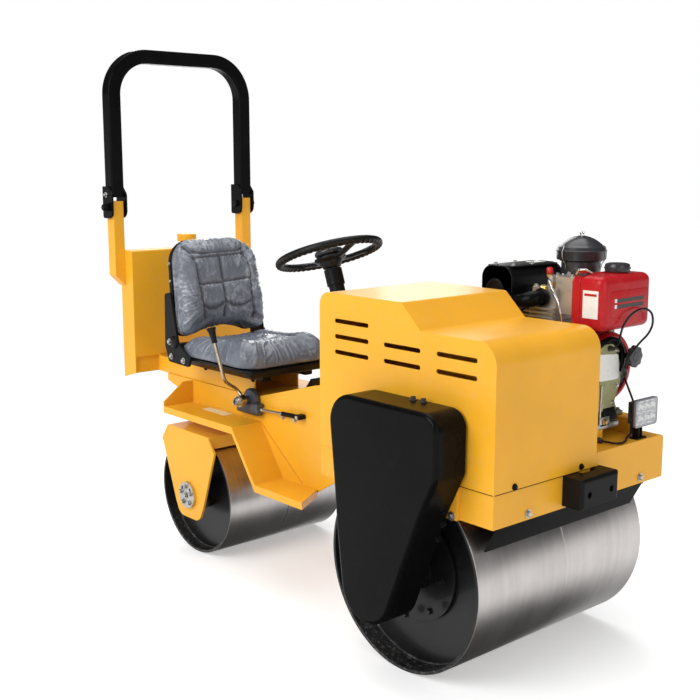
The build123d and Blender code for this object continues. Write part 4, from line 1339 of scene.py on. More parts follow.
@dataclass
class Pad:
    """One stuffed cushion: a crowned closed form, blown up as cloth, then sewn and creased."""

    name: str
    node: str
    origin: Vector
    across: Vector
    along: Vector
    out: Vector
    corners: tuple[tuple[float, float, float], ...]
    middle: tuple[float, float]
    thickness: tuple[tuple[float, float], ...]
    crown: Callable[[float, float], float]
    seams: tuple[Seam, ...]
    fold: float
    arch: float = 0.0
    swell: float = 10.0
    inset: float = 17.0
    voxel: float = 0.0055
    seam_shade_width: float = 4.5
    deepest: float = 11.0
    pillow: float = 3.0
    last_frame: int = 20
    profile: tuple[tuple[float, float], ...] = ((17, 0.0), (6, 0.05), (0.5, 0.20), (0, 0.48), (3, 0.68),
        (10, 0.86), (22, 0.96), (38, 1.0))

    def place(self, s: float, t: float, w: float) -> Vector:
        """World place of a point given in the cushion's own millimetres."""
        return self.origin + (self.across * s + self.along * t + self.out * w) * MM

    def local(self, point: Vector) -> tuple[float, float, float]:
        """The cushion's own millimetres of a world place."""
        way = (point - self.origin) / MM
        return way.dot(self.across), way.dot(self.along), way.dot(self.out)

    def raised(self, s: float, t: float) -> float:
        """How far the lower edge's arch lifts a point."""
        return self.arch * max(0.0, 1 - (s / 120) ** 2) * max(0.0, 1 - t / 110)

    def blank(self) -> Thing:
        """The slightly smaller form before the cloth run, remeshed evenly.

        Returns:
            The object.
        """
        outline = evenly(filleted(self.corners), 120)
        middle = Vector(self.middle)
        part = bmesh.new()
        rings = []
        last = self.profile[-1][0]
        cap = [(last, 1.0, scale) for scale in (0.86, 0.70, 0.52, 0.34, 0.16)]
        for inset, share, scale in [(self.inset, 0.0, 0.6), *((i, h, 1.0) for i, h in self.profile), *cap]:
            ring = []
            for point in outline:
                away = point - middle
                here = middle + away * (1 - inset / away.length) * scale
                lift = self.raised(here.x, here.y)
                height = share * (between(here.y, self.thickness) + self.crown(here.x, here.y) * share ** 2)
                ring.append(part.verts.new(self.place(here.x, here.y + lift, height)))
            rings.append(ring)
        skin(part, rings)
        bmesh.ops.triangulate(part, faces=[face for face in part.faces if len(face.verts) > 4])
        bmesh.ops.recalc_face_normals(part, faces=part.faces)
        mesh = bpy.data.meshes.new(self.name + "_blank")
        part.to_mesh(mesh)
        part.free()
        made = linked(self.name, mesh)
        remesh = made.modifiers.new("even", "REMESH")
        remesh.mode, remesh.voxel_size = "VOXEL", self.voxel
        made.data = self.worked(made)
        return made

    @staticmethod
    def worked(made: Thing) -> Mesh:
        """Mesh with the modifiers worked in, which are then taken off.

        Args:
            made: The object.

        Returns:
            The new mesh.
        """
        mesh = plain_copy(made)
        made.modifiers.clear()
        return mesh

    def hang(self, made: Thing) -> None:
        """Add the cloth run that blows the cushion up from its flat side.

        Args:
            made: The blank.
        """
        pin = made.vertex_groups.new(name="pin")
        pin.add([vert.index for vert in made.data.vertices if self.local(vert.co)[2] < 7], 1.0, "REPLACE")
        cloth = made.modifiers.new("cloth", "CLOTH")
        for setting, value in (("quality", 5), ("mass", 0.3), ("tension_stiffness", 12),
                ("compression_stiffness", 12), ("bending_stiffness", 0.6), ("use_pressure", True),
                ("uniform_pressure_force", 4), ("vertex_group_mass", "pin")):
            setattr(cloth.settings, setting, value)
        cloth.settings.effector_weights.gravity = 0
        cloth.collision_settings.use_collision = False
        cloth.point_cache.frame_start, cloth.point_cache.frame_end = 1, self.last_frame

    def swollen(self, made: Thing) -> None:
        """Keep the cloth run's result, with a cap on how far a point moves.

        Args:
            made: The blank with its cloth run.
        """
        before = [vert.co.copy() for vert in made.data.vertices]
        mesh = self.worked(made)
        for vert, start in zip(mesh.vertices, before):
            move = vert.co - start
            if move.length > self.swell * MM:
                vert.co = start + move.normalized() * self.swell * MM
        made.data = mesh

    def sewn(self, made: Thing) -> None:
        """Subdivide once, press the seams in, raise the film's folds and mark where painted shade darkens the
        seams.

        Args:
            made: The cushion.
        """
        finer = made.modifiers.new("finer", "SUBSURF")
        finer.levels = 1
        mesh = made.data = self.worked(made)
        middle = Vector(self.middle)
        sewn = mesh.attributes.new("sewn", "FLOAT", "POINT")
        normals = [vert.normal.copy() for vert in mesh.vertices]
        for vert, normal in zip(mesh.vertices, normals):
            s, t, w = self.local(vert.co)
            front = step(normal.dot(self.out), 0.15, 0.65)
            near = 1e9
            move = 0.0
            for seam in self.seams:
                gap = seam.distance(s, t - self.raised(s, t))
                near = min(near, gap)
                move -= seam.depth * exp(-(gap / seam.width) ** 2)
            # The "sewn" attribute is painted shade: it darkens the vinyl along the seams' channels.
            sewn.data[vert.index].value = exp(-(near / self.seam_shade_width) ** 2) * front
            move = (max(move, -self.deepest) + self.pillow * step(near, 4, 26)) * front
            away = Vector((s, t)) - middle
            angle = atan2(away.y, away.x)
            rim = step(away.length, 60, 150)
            radial = noise.noise(Vector((angle * 8.5, away.length / 75, 3.7)))
            slant = noise.noise(Vector((s / 17 + t / 42, t / 58 - s / 120, w / 60 + 9.1)))
            crest = (max(0.0, 1 - abs(radial) * 4.5) * rim
                + max(0.0, 1 - abs(slant) * 6.0) * 0.55 * (1 - 0.6 * rim))
            side = step(w, 6, 22)
            vert.co += normal * (move + self.fold * crest * side) * MM
        mesh.update()


@dataclass
class Seat:
    """The driver's seat: two film-covered cushions with their shell, rivets and hinge covers."""

    kit: GeoKit
    lean: float = radians(9)
    middle: float = -90
    hinge: float = 187
    rivet_rows: tuple[float, ...] = (18, 74, 130, 190, 250)

    def __post_init__(self) -> None:
        """Take the backrest's directions from its lean."""
        self.up = Vector((-sin(self.lean), 0, cos(self.lean)))
        self.ahead = Vector((cos(self.lean), 0, sin(self.lean)))
        self.foot = at(-1218, self.middle, 762)

    def pads(self) -> list[Pad]:
        """The backrest and the seat cushion.

        Returns:
            The two cushions, then the hard shell behind the backrest.
        """
        def back_crown(s: float, t: float) -> float:
            """Crown of the backrest: side bolsters, head roll and dished middle.

            Args:
                s: Place across, in mm.
                t: Place along, in mm.

            Returns:
                The height in mm.
            """
            bolster = exp(-((abs(s) - 131) / 28) ** 2) * step(t, 10, 60) * (1 - step(t, 240, 300))
            head = exp(-((t - 300) / 24) ** 2) * (1 - step(abs(s), 98, 140))
            return 13 * bolster + 10 * head - 5 * (1 - step(abs(s), 86, 108)) * (1 - step(t, 250, 285))

        def seat_crown(s: float, t: float) -> float:
            """Crown of the seat cushion: side bolsters, front roll and dished middle.

            Args:
                s: Place across, in mm.
                t: Place along, in mm.

            Returns:
                The height in mm.
            """
            bolster = exp(-((abs(s) - 130) / 30) ** 2) * step(t, 0, 60)
            roll = exp(-((t - 335) / 40) ** 2)
            dish = (1 - step(abs(s), 76, 113)) * step(t, 20, 70) * (1 - step(t, 270, 320))
            return 8 * bolster + 5 * roll - 9 * dish

        back = Pad("backrest_cushion", "back_cushion", self.foot, Vector(LEFT), self.up, self.ahead,
            ((-176, -6, 34), (176, -6, 34), (161, 330, 82), (-161, 330, 82)), (0, 150), ((0, 60), (12, 62),
            (110, 72), (250, 62), (315, 46), (335, 30)), back_crown,
            (Seam(((-132, 312), (-111, 283), (-67, 274), (0, 277), (67, 278), (111, 285), (134, 318)), 7.5, 6),
            Seam(((-105, 260), (0, 263), (105, 267)), 3.5, 5), Seam(((-106, 262), (-101, 168), (-93, 67),
            (-84, 42)), 5.5, 6), Seam(((105, 266), (118, 201), (111, 134), (121, 36)), 11.0, 9),
            Seam(((0, 266), (1, 170), (4, 34)), 6.0, 6), Seam(((-99, 168), (-6, 170)), 5.5, 6),
            Seam(((8, 172), (107, 178)), 5.5, 6), Seam(((-93, 92), (-67, 76), (-34, 75), (-6, 90)), 6.0, 6),
            Seam(((8, 96), (37, 78), (71, 77), (109, 98)), 5.0, 6)), 2.6, arch=27.0)
        seat = Pad("seat_cushion_pad", "seat_cushion", at(-1192, self.middle, 695), Vector(LEFT), Vector(AHEAD),
            Vector(UP), ((-177, -6, 40), (177, -6, 40), (177, 402, 66), (-177, 402, 66)), (0, 200),
            ((0, 46), (60, 50), (200, 58), (340, 66), (380, 60), (408, 50)), seat_crown,
            (Seam(((-106, 26), (-110, 200), (-106, 292), (-76, 308), (0, 312), (76, 308), (106, 292),
            (110, 200), (106, 26)), 6.5, 7), Seam(((-108, 120), (108, 120)), 4.5, 6),
            Seam(((-109, 215), (109, 215)), 4.5, 6)), 3.4, profile=((20, 0.0), (8, 0.06), (2, 0.20), (1, 0.40),
            (4, 0.60), (13, 0.80), (28, 0.94), (48, 1.0)))
        shell = Pad("backrest_shell", "back_shell", self.foot, Vector(LEFT), self.up, -self.ahead,
            ((-176, -7, 36), (176, -7, 36), (161, 331, 84), (-161, 331, 84)), (0, 150), ((0, 22), (120, 34),
            (300, 24), (335, 12)), lambda s, t: 0.0, (), 0.0, arch=27.0, profile=((1, 0.0), (0, 0.3), (4, 0.7),
            (14, 0.95), (30, 1.0)))
        return [back, seat, shell]

    def build(self) -> None:
        """Blow both cushions up in one run, then add the seat's hard pieces."""
        *pads, shell = self.pads()
        plate = shell.blank()
        plate.data.materials.clear()
        plate.data.materials.append(Coat.SHELL.material)
        settle(plate, "chassis", 180)
        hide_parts(shell.node)
        blanks = [pad.blank() for pad in pads]
        for pad, made in zip(pads, blanks):
            pad.hang(made)
        for number in range(1, pads[0].last_frame + 1):
            bpy.context.scene.frame_set(number)
        for pad, made in zip(pads, blanks):
            pad.swollen(made)
        bpy.context.scene.frame_set(1)
        for pad, made in zip(pads, blanks):
            pad.sewn(made)
            made.data.materials.clear()
            made.data.materials.append(Coat.VINYL.material)
            settle(made, "chassis", 180)
            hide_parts(pad.node)
        self.hardware()

    def hardware(self) -> None:
        """Rivets along the shell, hinge covers and the recliners' bolts."""
        rivets = []
        for side in (-1, 1):
            for height in self.rivet_rows:
                reach = 172.5 - 14 * height / 335
                rivets.append(Spot(self.foot + self.up * height * MM - self.ahead * 8 * MM
                    + Vector((0, side * reach * MM, 0)), (0, side, 0)))
        self.kit.fasten("seat_shell_rivets", rivets, 4.5, 3.5, 5.5, sides=12, crown=0.5)
        bolts = [Spot(at(x, self.middle + side * self.hinge, z), (0, side, 0)) for side in (-1, 1)
            for x, z in ((-1226, 690), (-1150, 684), (-1236, 740))]
        self.kit.fasten("recliner_bolts", bolts, 7.5, 6, 11)
        cover = Form("recliner_covers", Coat.SHELL)
        shape = ((0, 0), (20, 0), (22, 2), (20, 5), (13, 8), (0, 8.5))
        for side in (-1, 1):
            cover.lathe(shape, at(-1206, self.middle + side * self.hinge, 742), (0, side, 0), 40)
        cover.piece()


@dataclass
class SteeringWheel:
    """Rim with finger grips, a dished three-arm web, a domed cap and its boss."""

    kit: GeoKit
    tilt: float = radians(20)
    arms: tuple[float, ...] = (-5, 85, 175)
    arm_line: Pairs = ((18, -17), (44, -17), (72, -14), (100, -8), (128, -3), (150, -1), (158, 0))

    def __post_init__(self) -> None:
        """Take the wheel's directions from its tilt."""
        self.centre = at(-596, -90, 1075)
        self.axis = Vector((-sin(self.tilt), 0, cos(self.tilt)))
        self.ahead = Vector((cos(self.tilt), 0, sin(self.tilt)))

    def spot(self, angle: float, reach: float, lift: float) -> Vector:
        """Place on the wheel by angle, radius and height over the rim's plane in mm.

        Args:
            angle: Degrees from straight ahead to the left.
            reach: Distance from the axis.
            lift: Height over the rim's plane.

        Returns:
            The place.
        """
        turn = radians(angle)
        left = Vector(LEFT)
        way = self.ahead * cos(turn) + left * sin(turn)
        return self.centre + (way * reach + self.axis * lift) * MM

    def build(self) -> None:
        """Make rim, web, cap and boss."""
        rim = self.kit.rim.make("wheel_rim", spots_mesh([Spot(self.centre, self.axis)]), Coat.GRIP, "steering",
            "rubber_black", 60, Radius=0.1575, Thickness=0.0125, Grips=52.0, Depth=0.0009)
        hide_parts("steering_wheel")
        web = Form("wheel_web", Coat.GRIP)
        for angle in self.arms:
            line = flowing([self.spot(angle, reach, lift) for reach, lift in self.arm_line], 5)
            web.ribbon(line, self.axis, lambda share: (
                (24 - 13 * step(share, 0, 0.35) + 9 * step(share, 0.72, 1.0)) * MM, (7.0 - 1.0 * share) * MM))
        web.lathe(((0, -25), (34, -25), (46, -22), (51, -17), (49, -11), (40, -9), (0, -9)), self.centre,
            self.axis, 56)
        web.lathe(((0, -46), (25, -46), (28, -44), (30, -38), (37, -26), (37, -20), (0, -20)), self.centre,
            self.axis, 56)
        web.piece(40, body="steering")
        cap = Form("wheel_cap", Coat.PLASTIC)
        cap.lathe(((0, -9), (30, -9), (30, -5), (40, -5), (44, -2), (45.5, 4), (43, 10), (36, 15), (24, 18.5),
            (10, 20), (0, 20.4)), self.centre, self.axis, 64)
        cap.piece(50, body="steering")


# ------------------------------------------------------------------------------ engine
@dataclass
class Engine:
    """The outside of the single-cylinder engine, from the air filter to its mounts.

    Places are (x, y, z) in mm, as at() takes them; profiles are (radius, height) steps.
    """

    kit: GeoKit
    filter_axis: Point = (80, 285, 0)
    outlet: Point = (-91, 112, 992)
    filler: Point = (232, 246, 0)
    spout: Point = (198, 134, 0)
    starter_hub: Point = (192, 236, 794)

    def build(self) -> None:
        """Make every outside piece of the engine."""
        self.air_filter()
        self.muffler()
        self.fuel_tank()
        self.starter()
        self.injection()
        self.casing()
        self.crankcase()

    def air_filter(self) -> None:
        """Bowl, overhanging lid with its rim, dome and wing nut."""
        form = Form("oil_bath_filter", Coat.PLASTIC)
        form.lathe([(0, 1001), (30, 1001), (30, 1036), (48, 1039), (54, 1043), (56, 1049), (56, 1077),
            (60, 1078), (63, 1081), (68, 1081.5), (70, 1084), (70, 1104), (72, 1106), (72, 1109), (69.5, 1111),
            (68.5, 1117), (65, 1121), (60, 1122), (57, 1126), (48, 1133), (37, 1140), (23, 1146), (9, 1149.5),
            (6, 1150), (0, 1150)], at(*self.filter_axis), UP, 72)
        form.block(at(56, 236, 962), at(104, 305, 1002), 0.006, 3)
        form.piece(50, "air_filter")
        nut = Form("filter_wing_nut", Coat.CHROME)
        nut.lathe([(0, 1149), (6, 1149), (6, 1154), (3.5, 1156), (2.5, 1161), (0, 1161.5)],
            at(*self.filter_axis), UP, 20)
        for side in (-1, 1):
            nut.tube([at(80, 285 + side * reach, z) for reach, z in ((2, 1152), (7, 1155), (11, 1160))],
                lambda share: (2.2 - 0.6 * share) * MM, 10)
        nut.piece(50)
        clip = Form("filter_lid_clips", Coat.ZINC)
        for angle in (20, 140, 260):
            turn = radians(angle)
            way = Vector((cos(turn), sin(turn), 0))
            clip.tube([at(80, 285, z) + way * reach * MM for reach, z in ((57.5, 1058), (61, 1072), (72, 1088),
                (73, 1106), (66, 1122))], 0.0013, 8)
        clip.piece(50)

    def muffler(self) -> None:
        """Rolled seams, end ring, outlet and a bare label on the muffler's box."""
        form = Form("muffler_seams", Coat.BLACK_MATT)
        outline = filleted(((-149, 919, 29), (-33, 919, 29), (-33, 1063, 37), (-149, 1063, 37)), 10)
        for y in (126, 342):
            form.prism(outline, 0.008, at(0, y, 0), 0.0025, right=AHEAD)
        form.block(at(-140, 134, 1058), at(-42, 334, 1062), 0.0015)
        form.lathe([(13, -2), (31, -2), (34, 1), (32, 5), (27, 6.5), (22, 5), (19, 1), (13, 1)],
            at(*self.outlet), RIGHT, 48)
        form.lathe([(0, 0), (19, 0), (19, 2.5), (0, 2.5)], at(*self.outlet), RIGHT, 40)
        form.piece(40)
        label = Form("muffler_bare_label", Coat.LIGHT_PLATE)
        label.block(at(-112, 268, 1062), at(-78, 322, 1063.2), 0.0004, 1)
        label.piece()
        bolts = [Spot(at(x, y, 1062), UP) for x in (-124, -58) for y in (150, 236)]
        self.kit.fasten("muffler_bolts", bolts, 5.5, 5, 8.5)

    def fuel_tank(self) -> None:
        """Pressed tank with big soft corners, its rolled band, filler, ribbed cap and bare plates."""
        tank = Form("pressed_fuel_tank", Coat.RED)
        tank.block(at(174, 110, 909), at(288, 332, 1058), 0.022, 7)
        tank.piece(60, "fuel_tank")
        trim = Form("fuel_tank_band", Coat.RED)
        outline = filleted(((107, 906, 24), (335, 906, 24), (335, 1061, 24), (107, 1061, 24)), 10)
        trim.prism(outline, 0.006, at(206, 0, 0), 0.002)
        panel = filleted(((140, 946, 12), (316, 946, 12), (316, 1018, 12), (140, 1018, 12)), 8)
        trim.prism(panel, 0.0016, at(287.2, 0, 0), 0.0012, 3)
        trim.lathe([(30, 1052), (30, 1057), (27, 1060), (24, 1061), (24, 1064)], at(*self.filler), UP, 48)
        trim.lathe([(0, 1050), (20, 1050), (20, 1063), (17, 1067), (0, 1067)], at(*self.spout), UP, 32)
        trim.piece(50)
        plates = Form("tank_bare_plates", Coat.DARK_PLATE)
        for low, high in ((986, 996), (970, 980)):
            plates.block(at(288.2, 172, low), at(289.4, 292, high), 0.0004, 1)
        plates.use(Coat.LIGHT_PLATE)
        for low, high in ((986, 996), (970, 980)):
            plates.block(at(288.2, 160, low), at(289.5, 170, high), 0.0004, 1)
        plates.block(at(222, 108.6, 944), at(272, 110.2, 1019), 0.0005, 1)
        plates.use(Coat.RED)
        plates.block(at(227, 108.2, 1004), at(267, 108.7, 1011), 0.0002, 1)
        plates.piece(40)
        cap = Form("ribbed_fuel_cap", Coat.PLASTIC)
        cap.lathe([(0, 1060), (26, 1060), (33, 1061), (34, 1063), (34, 1078), (32, 1082), (26, 1084),
            (10, 1084.4), (0, 1084.4)], at(*self.filler), UP, 60)
        cap.piece(40, "fuel_cap")
        ribs = []
        for turn in turns(30):
            ribs.append(Spot(at(232, 246, 1071) + Vector((cos(turn), sin(turn), 0)) * 0.0345,
                (cos(turn), sin(turn), 0)))
        self.kit.ribs.make("fuel_cap_ribs", spots_mesh(ribs), Coat.PLASTIC, "chassis", "black_plastic",
            Width=0.0030, Length=0.0030, Height=0.0030)
        clamp = Form("tank_filler_clamp", Coat.PLASTIC)
        clamp.lathe([(19, 1056), (23, 1056), (24, 1059), (23, 1062), (19, 1062)], at(*self.spout), UP, 32)
        clamp.block(at(186, 112, 1060), at(200, 128, 1074), 0.003)
        clamp.use(Coat.CHROME)
        clamp.tube([at(x, y, z) for x, y, z in ((200, 108, 1060), (208, 106, 1072), (226, 112, 1074),
            (240, 124, 1066))], 0.0028, 10)
        clamp.piece(50)

    def starter(self) -> None:
        """Recoil starter's bowl with its hub, vents and foot, and the lobed knob."""
        form = Form("recoil_bowl", Coat.RED)
        form.lathe([(0, 0), (101, 0), (103.5, 3), (102, 7), (99.5, 9), (99, 26), (97, 34), (92, 40), (86, 41.5),
            (81, 40), (80, 34), (0, 34)], at(*self.starter_hub), AHEAD, 96)
        form.block(at(206, 224, 686), at(232, 252, 716), 0.003)
        form.use(Coat.BLACK_MATT)
        form.lathe([(0, 33), (79, 33), (79, 37), (70, 40), (64, 40), (62, 46), (58, 49), (0, 49)],
            at(*self.starter_hub), AHEAD, 64)
        form.piece(40, "recoil_starter")
        ribs = [Spot(at(231, 236, 794) + Vector((0, cos(a), sin(a))) * 0.071, (0, cos(a), sin(a)))
            for a in turns(32)]
        self.kit.ribs.make("recoil_vent_ribs", spots_mesh(ribs), Coat.BLACK_MATT, "chassis", "black_plastic",
            Width=0.0070, Length=0.0030, Height=0.0120)
        knob = Form("throttle_knob_lobed", Coat.PLASTIC)
        lobes = []
        for turn in turns(96):
            reach = 29.2 + 1.7 * cos(8 * turn)
            lobes.append((reach * cos(turn), reach * sin(turn)))
        knob.prism(lobes, 0.013, at(276, 270, 828), 0.0035, 3)
        knob.lathe([(0, 0), (8, 0), (8, 22), (13, 26), (0, 26)], at(251, 270, 828), AHEAD, 28)
        knob.lathe([(0, 0), (14, 0), (13, 1.2), (0, 1.4)], at(289, 270, 828), AHEAD, 32)
        knob.piece(35, "throttle_knob")

    def injection(self) -> None:
        """Injector, its pipe, the dark intake bend and the rocker cover's bolts."""
        brass = Form("injector_body", Coat.BRASS)
        brass.lathe([(0, 0), (9, 0), (9, 12), (11, 13), (11, 20), (7, 22), (7, 34), (10, 35), (10, 42), (6, 44),
            (0, 44)], at(87, 147, 1006), (-0.12, -0.05, 1), 24)
        brass.lathe([(0, 0), (6, 0), (8, 3), (8, 9), (5, 12), (5, 20), (0, 20)], at(78, 138, 1006), (-0.8, -0.4,
            0.3), 20)
        brass.use(Coat.RED_PLASTIC)
        brass.lathe([(0, 0), (8.5, 0), (9.5, 3), (9, 14), (6, 18), (0, 18.5)], at(81.5, 145, 1050),
            (-0.12, -0.05, 1), 24)
        brass.piece(45)
        pipe = Form("injection_pipe", Coat.CHROME)
        line = [at(*place) for place in ((84, 140, 1028), (92, 130, 1030), (102, 122, 1020), (122, 112, 1000),
            (142, 108, 978), (150, 108, 950), (152, 112, 910))]
        pipe.tube(flowing(line, 8), 0.0032, 12)
        pipe.use(Coat.ZINC)
        for place, axis in ((line[0], line[1] - line[0]), (line[-1], line[-2] - line[-1])):
            pipe.lathe([(0, -4), (7, -4), (7, 8), (4.5, 11), (0, 11)], place, axis, 6)
        pipe.piece(40)
        bend = Form("intake_bend", Coat.BLACK)
        line = [at(*place) for place in ((66, 132, 985), (66, 112, 984), (58, 96, 980), (38, 89, 975),
            (16, 93, 970), (2, 108, 962))]
        bend.tube(flowing(line, 8), lambda share: (19.5 + 2.5 * sin(pi * share)) * MM, 28)
        for place, axis in ((line[0], line[1] - line[0]), (line[-1], line[-2] - line[-1])):
            bend.lathe([(0, 0), (24, 0), (25, 2), (25, 7), (22, 9), (0, 9)], place, axis, 36)
        bend.piece(45, "intake_elbow")
        strip = Form("governor_link_strip", Coat.ALLOY)
        strip.block(at(-12, 104, 918), at(112, 113, 926), 0.0015)
        strip.lathe([(0, 0), (5, 0), (5, 6), (0, 6)], at(104, 104, 922), RIGHT, 6)
        strip.piece(40)
        bolts = [Spot(at(x, y, 1010), UP) for x in (36, 62) for y in (142, 224)]
        bolts += [Spot(at(x, y, 1044), UP) for x in (94, 148) for y in (162, 214)]
        self.kit.fasten("rocker_cover_bolts", bolts, 6, 6, 9)

    def casing(self) -> None:
        """Tapered alloy cover whose olive colour holds a painted reflection of the hood, bare plate, brackets,
        studs and mounting bolts below the tank.
        """
        cover = Form("flywheel_cover", Coat.ALLOY_WITH_PAINTED_REFLECTION)
        outline = filleted(((142, 880, 20), (132, 830, 30), (128, 760, 30), (150, 694, 14), (292, 694, 14),
            (322, 760, 40), (322, 830, 40), (300, 880, 20)), 6)
        cover.prism(outline, 0.046, at(146, 0, 0), 0.004, 3)
        cover.block(at(152, 136, 647), at(222, 316, 660), 0.003)
        cover.prism(((150, 658), (302, 658), (280, 696), (172, 696)), 0.060, at(154, 0, 0), 0.003)
        cover.block(at(150, 156, 878), at(190, 306, 908), 0.003)
        cover.piece(35, "flywheel_housing")
        self.front_casing()
        dark = Form("fuel_pump_body", Coat.IRON)
        dark.block(at(150, 112, 850), at(186, 130, 890), 0.005, 3)
        dark.lathe([(0, 0), (17, 0), (19, 3), (19, 12), (14, 16), (14, 24), (0, 24)], at(170, 132, 868), RIGHT,
            30)
        dark.prism(((150, 648), (214, 648), (202, 704), (162, 704)), -0.012, at(0, 130, 0), 0.003, right=AHEAD)
        dark.piece(35)
        metal = Form("engine_brackets", Coat.ZINC)
        line = [at(*place) for place in ((176, 108, 872), (190, 104, 866), (206, 112, 840), (214, 126, 812),
            (206, 132, 792))]
        metal.tube(flowing(line, 6), 0.0030, 10)
        metal.tube([at(206, 124, 700), at(206, 124, 790)], 0.0028, 10)
        metal.block(at(196, 112, 700), at(224, 134, 706), 0.0012)
        metal.lathe([(0, 0), (9, 0), (10, 2), (10, 9), (0, 10)], at(210, 112, 690), RIGHT, 24)
        metal.use(Coat.BRASS)
        metal.lathe([(0, 0), (5, 0), (5, 6), (0, 7)], at(210, 102, 690), RIGHT, 20)
        metal.lathe([(0, 0), (6, 0), (6, 9), (0, 9)], at(206, 132, 790), (0, -0.2, 1), 6)
        metal.piece(40)
        bolts = [Spot(at(193, y, z), AHEAD) for y, z in ((134, 770), (134, 820), (148, 868), (160, 706),
            (284, 706), (316, 770), (316, 820))]
        bolts += [Spot(at(x, y, 660), UP) for x in (164, 212) for y in (148, 304)]
        self.kit.fasten("casing_bolts", bolts, 5.8, 5.5, 8.5)
        tray = Form("engine_mount_clips", Coat.YELLOW)
        tray.prism(((96, 604), (134, 604), (134, 640), (146, 640), (146, 644), (130, 644), (130, 608),
            (96, 608)), 0.034, Vector((AXLE.x + 0.236, AXLE.y - 0.022, 0)), 0.0008, 1)
        tray.piece(30)

    def crankcase(self) -> None:
        """Side door, oil filler, dipstick, drain plug, ribbed end cover and their bolts on the block."""
        # The door's olive-yellow tint is a painted reflection of the yellow hood.
        door = Form("crankcase_door", Coat.ALLOY_WITH_PAINTED_REFLECTION)
        for reach, inset, y, thick in ((0, 14, 314, 9), (15, 9, 323, 4)):
            outline = filleted(((18 + reach, 704 + reach, inset), (132 - reach, 704 + reach, inset),
                (132 - reach, 808 - reach, inset), (18 + reach, 808 - reach, inset)), 6)
            door.prism(outline, -thick * MM, at(0, y, 0), 0.0025, 3, right=AHEAD)
        door.lathe([(0, 0), (20, 0), (17, 3), (16, 12), (0, 12)], at(106, 314, 842), LEFT, 36)
        door.lathe([(70, -6), (71, -3), (70, 4), (66, 8), (50, 9), (44, 14), (30, 17), (28, 20), (0, 20)],
            at(-64, 226, 790), (-1, 0, 0), 72)
        for turn in turns(8):
            way = Vector((0, cos(turn + 0.39), sin(turn + 0.39)))
            door.tube([at(-73, 226, 790) + way * reach * MM for reach in (30, 64)], 0.0032, 8)
        door.use(Coat.PLASTIC)
        door.lathe([(0, 12), (19, 12), (20, 14), (20, 24), (17, 28), (6, 28.5), (6, 33), (0, 33)], at(106, 314,
            842), LEFT, 10)
        door.use(Coat.ZINC)
        door.lathe([(0, 0), (12, 0), (12, 2.5), (8.5, 3), (8.5, 11), (0, 11)], at(28, 314, 688), LEFT, 6)
        door.lathe([(0, 0), (7, 0), (7, 5), (4, 6), (0, 6)], at(2, 314, 742), LEFT, 16)
        line = [at(*place) for place in ((2, 318, 742), (2, 328, 746), (1, 330, 764), (-2, 326, 790),
            (-5, 326, 800), (-9, 326, 792), (-6, 328, 776))]
        door.tube(flowing(line, 6), 0.0016, 8)
        door.piece(38)
        bolts = [Spot(at(x, 323, z), LEFT) for x in (26, 75, 124) for z in (712, 800)]
        bolts += [Spot(at(x, 323, 756), LEFT) for x in (26, 124)]
        for turn in turns(8):
            bolts.append(Spot(at(-72, 226 + 58 * cos(turn), 790 + 58 * sin(turn)), (-1, 0, 0)))
        bolts += [Spot(at(x, y, 671), UP) for x in (-4, 134) for y in (131, 321)]
        self.kit.fasten("crankcase_bolts", bolts, 5.5, 5, 8)

    def front_casing(self) -> None:
        """What stands before the starter's inner half: alloy casing whose khaki colour holds a painted
        reflection of the hood, bare plate, black pipe and foot.
        """
        skirt = Form("gear_casing", Coat.SKIRT_WITH_PAINTED_REFLECTION)
        outline = filleted(((122, 868, 14), (214, 868, 30), (246, 800, 40), (247, 756, 50), (212, 682, 12),
            (150, 682, 12), (120, 770, 40)), 6)
        skirt.prism(outline, 0.014, at(242.5, 0, 0), 0.005, 3)
        skirt.piece(35)
        plate = Form("engine_bare_plate", Coat.LIGHT_PLATE)
        outline = filleted(((142, 768, 6), (238, 766, 8), (231, 836, 8), (140, 844, 6)), 5)
        plate.prism(outline, 0.0016, at(256.4, 0, 0), 0.0004, 1)
        plate.piece(40)
        dark = Form("breather_pipe", Coat.BLACK)
        line = [at(*place) for place in ((252, 148, 866), (256, 168, 876), (257, 198, 880), (257, 230, 868),
            (257, 247, 842), (256, 250, 812), (252, 246, 786))]
        dark.tube(flowing(line, 8), 0.0085, 20)
        dark.use(Coat.BLACK_MATT)
        dark.block(at(236, 150, 846), at(256, 226, 876), 0.006, 3)
        dark.prism(((160, 654), (240, 654), (222, 690), (172, 690)), 0.020, at(240, 0, 0), 0.004, 3)
        dark.tube([at(256, 140, 690), at(256, 146, 770)], 0.0045, 12)
        dark.piece(40)
        metal = Form("casing_bracket", Coat.ALLOY)
        metal.block(at(228, 140, 632), at(262, 240, 650), 0.003)
        metal.block(at(256, 152, 640), at(262, 196, 668), 0.0025)
        metal.use(Coat.ZINC)
        metal.tube([at(258, 156, 664), at(259, 158, 756)], 0.0028, 10)
        metal.use(Coat.BRASS)
        metal.lathe([(0, 0), (9, 0), (9.5, 2), (9.5, 4), (6, 5), (6, 10), (0, 11)], at(261, 172, 654), AHEAD,
            24)
        metal.piece(40)
        bolts = [Spot(at(256.5, y, z), AHEAD) for y, z in ((228, 748), (212, 702), (160, 700), (226, 846))]
        self.kit.fasten("gear_casing_bolts", bolts, 5, 4.5, 7.2)


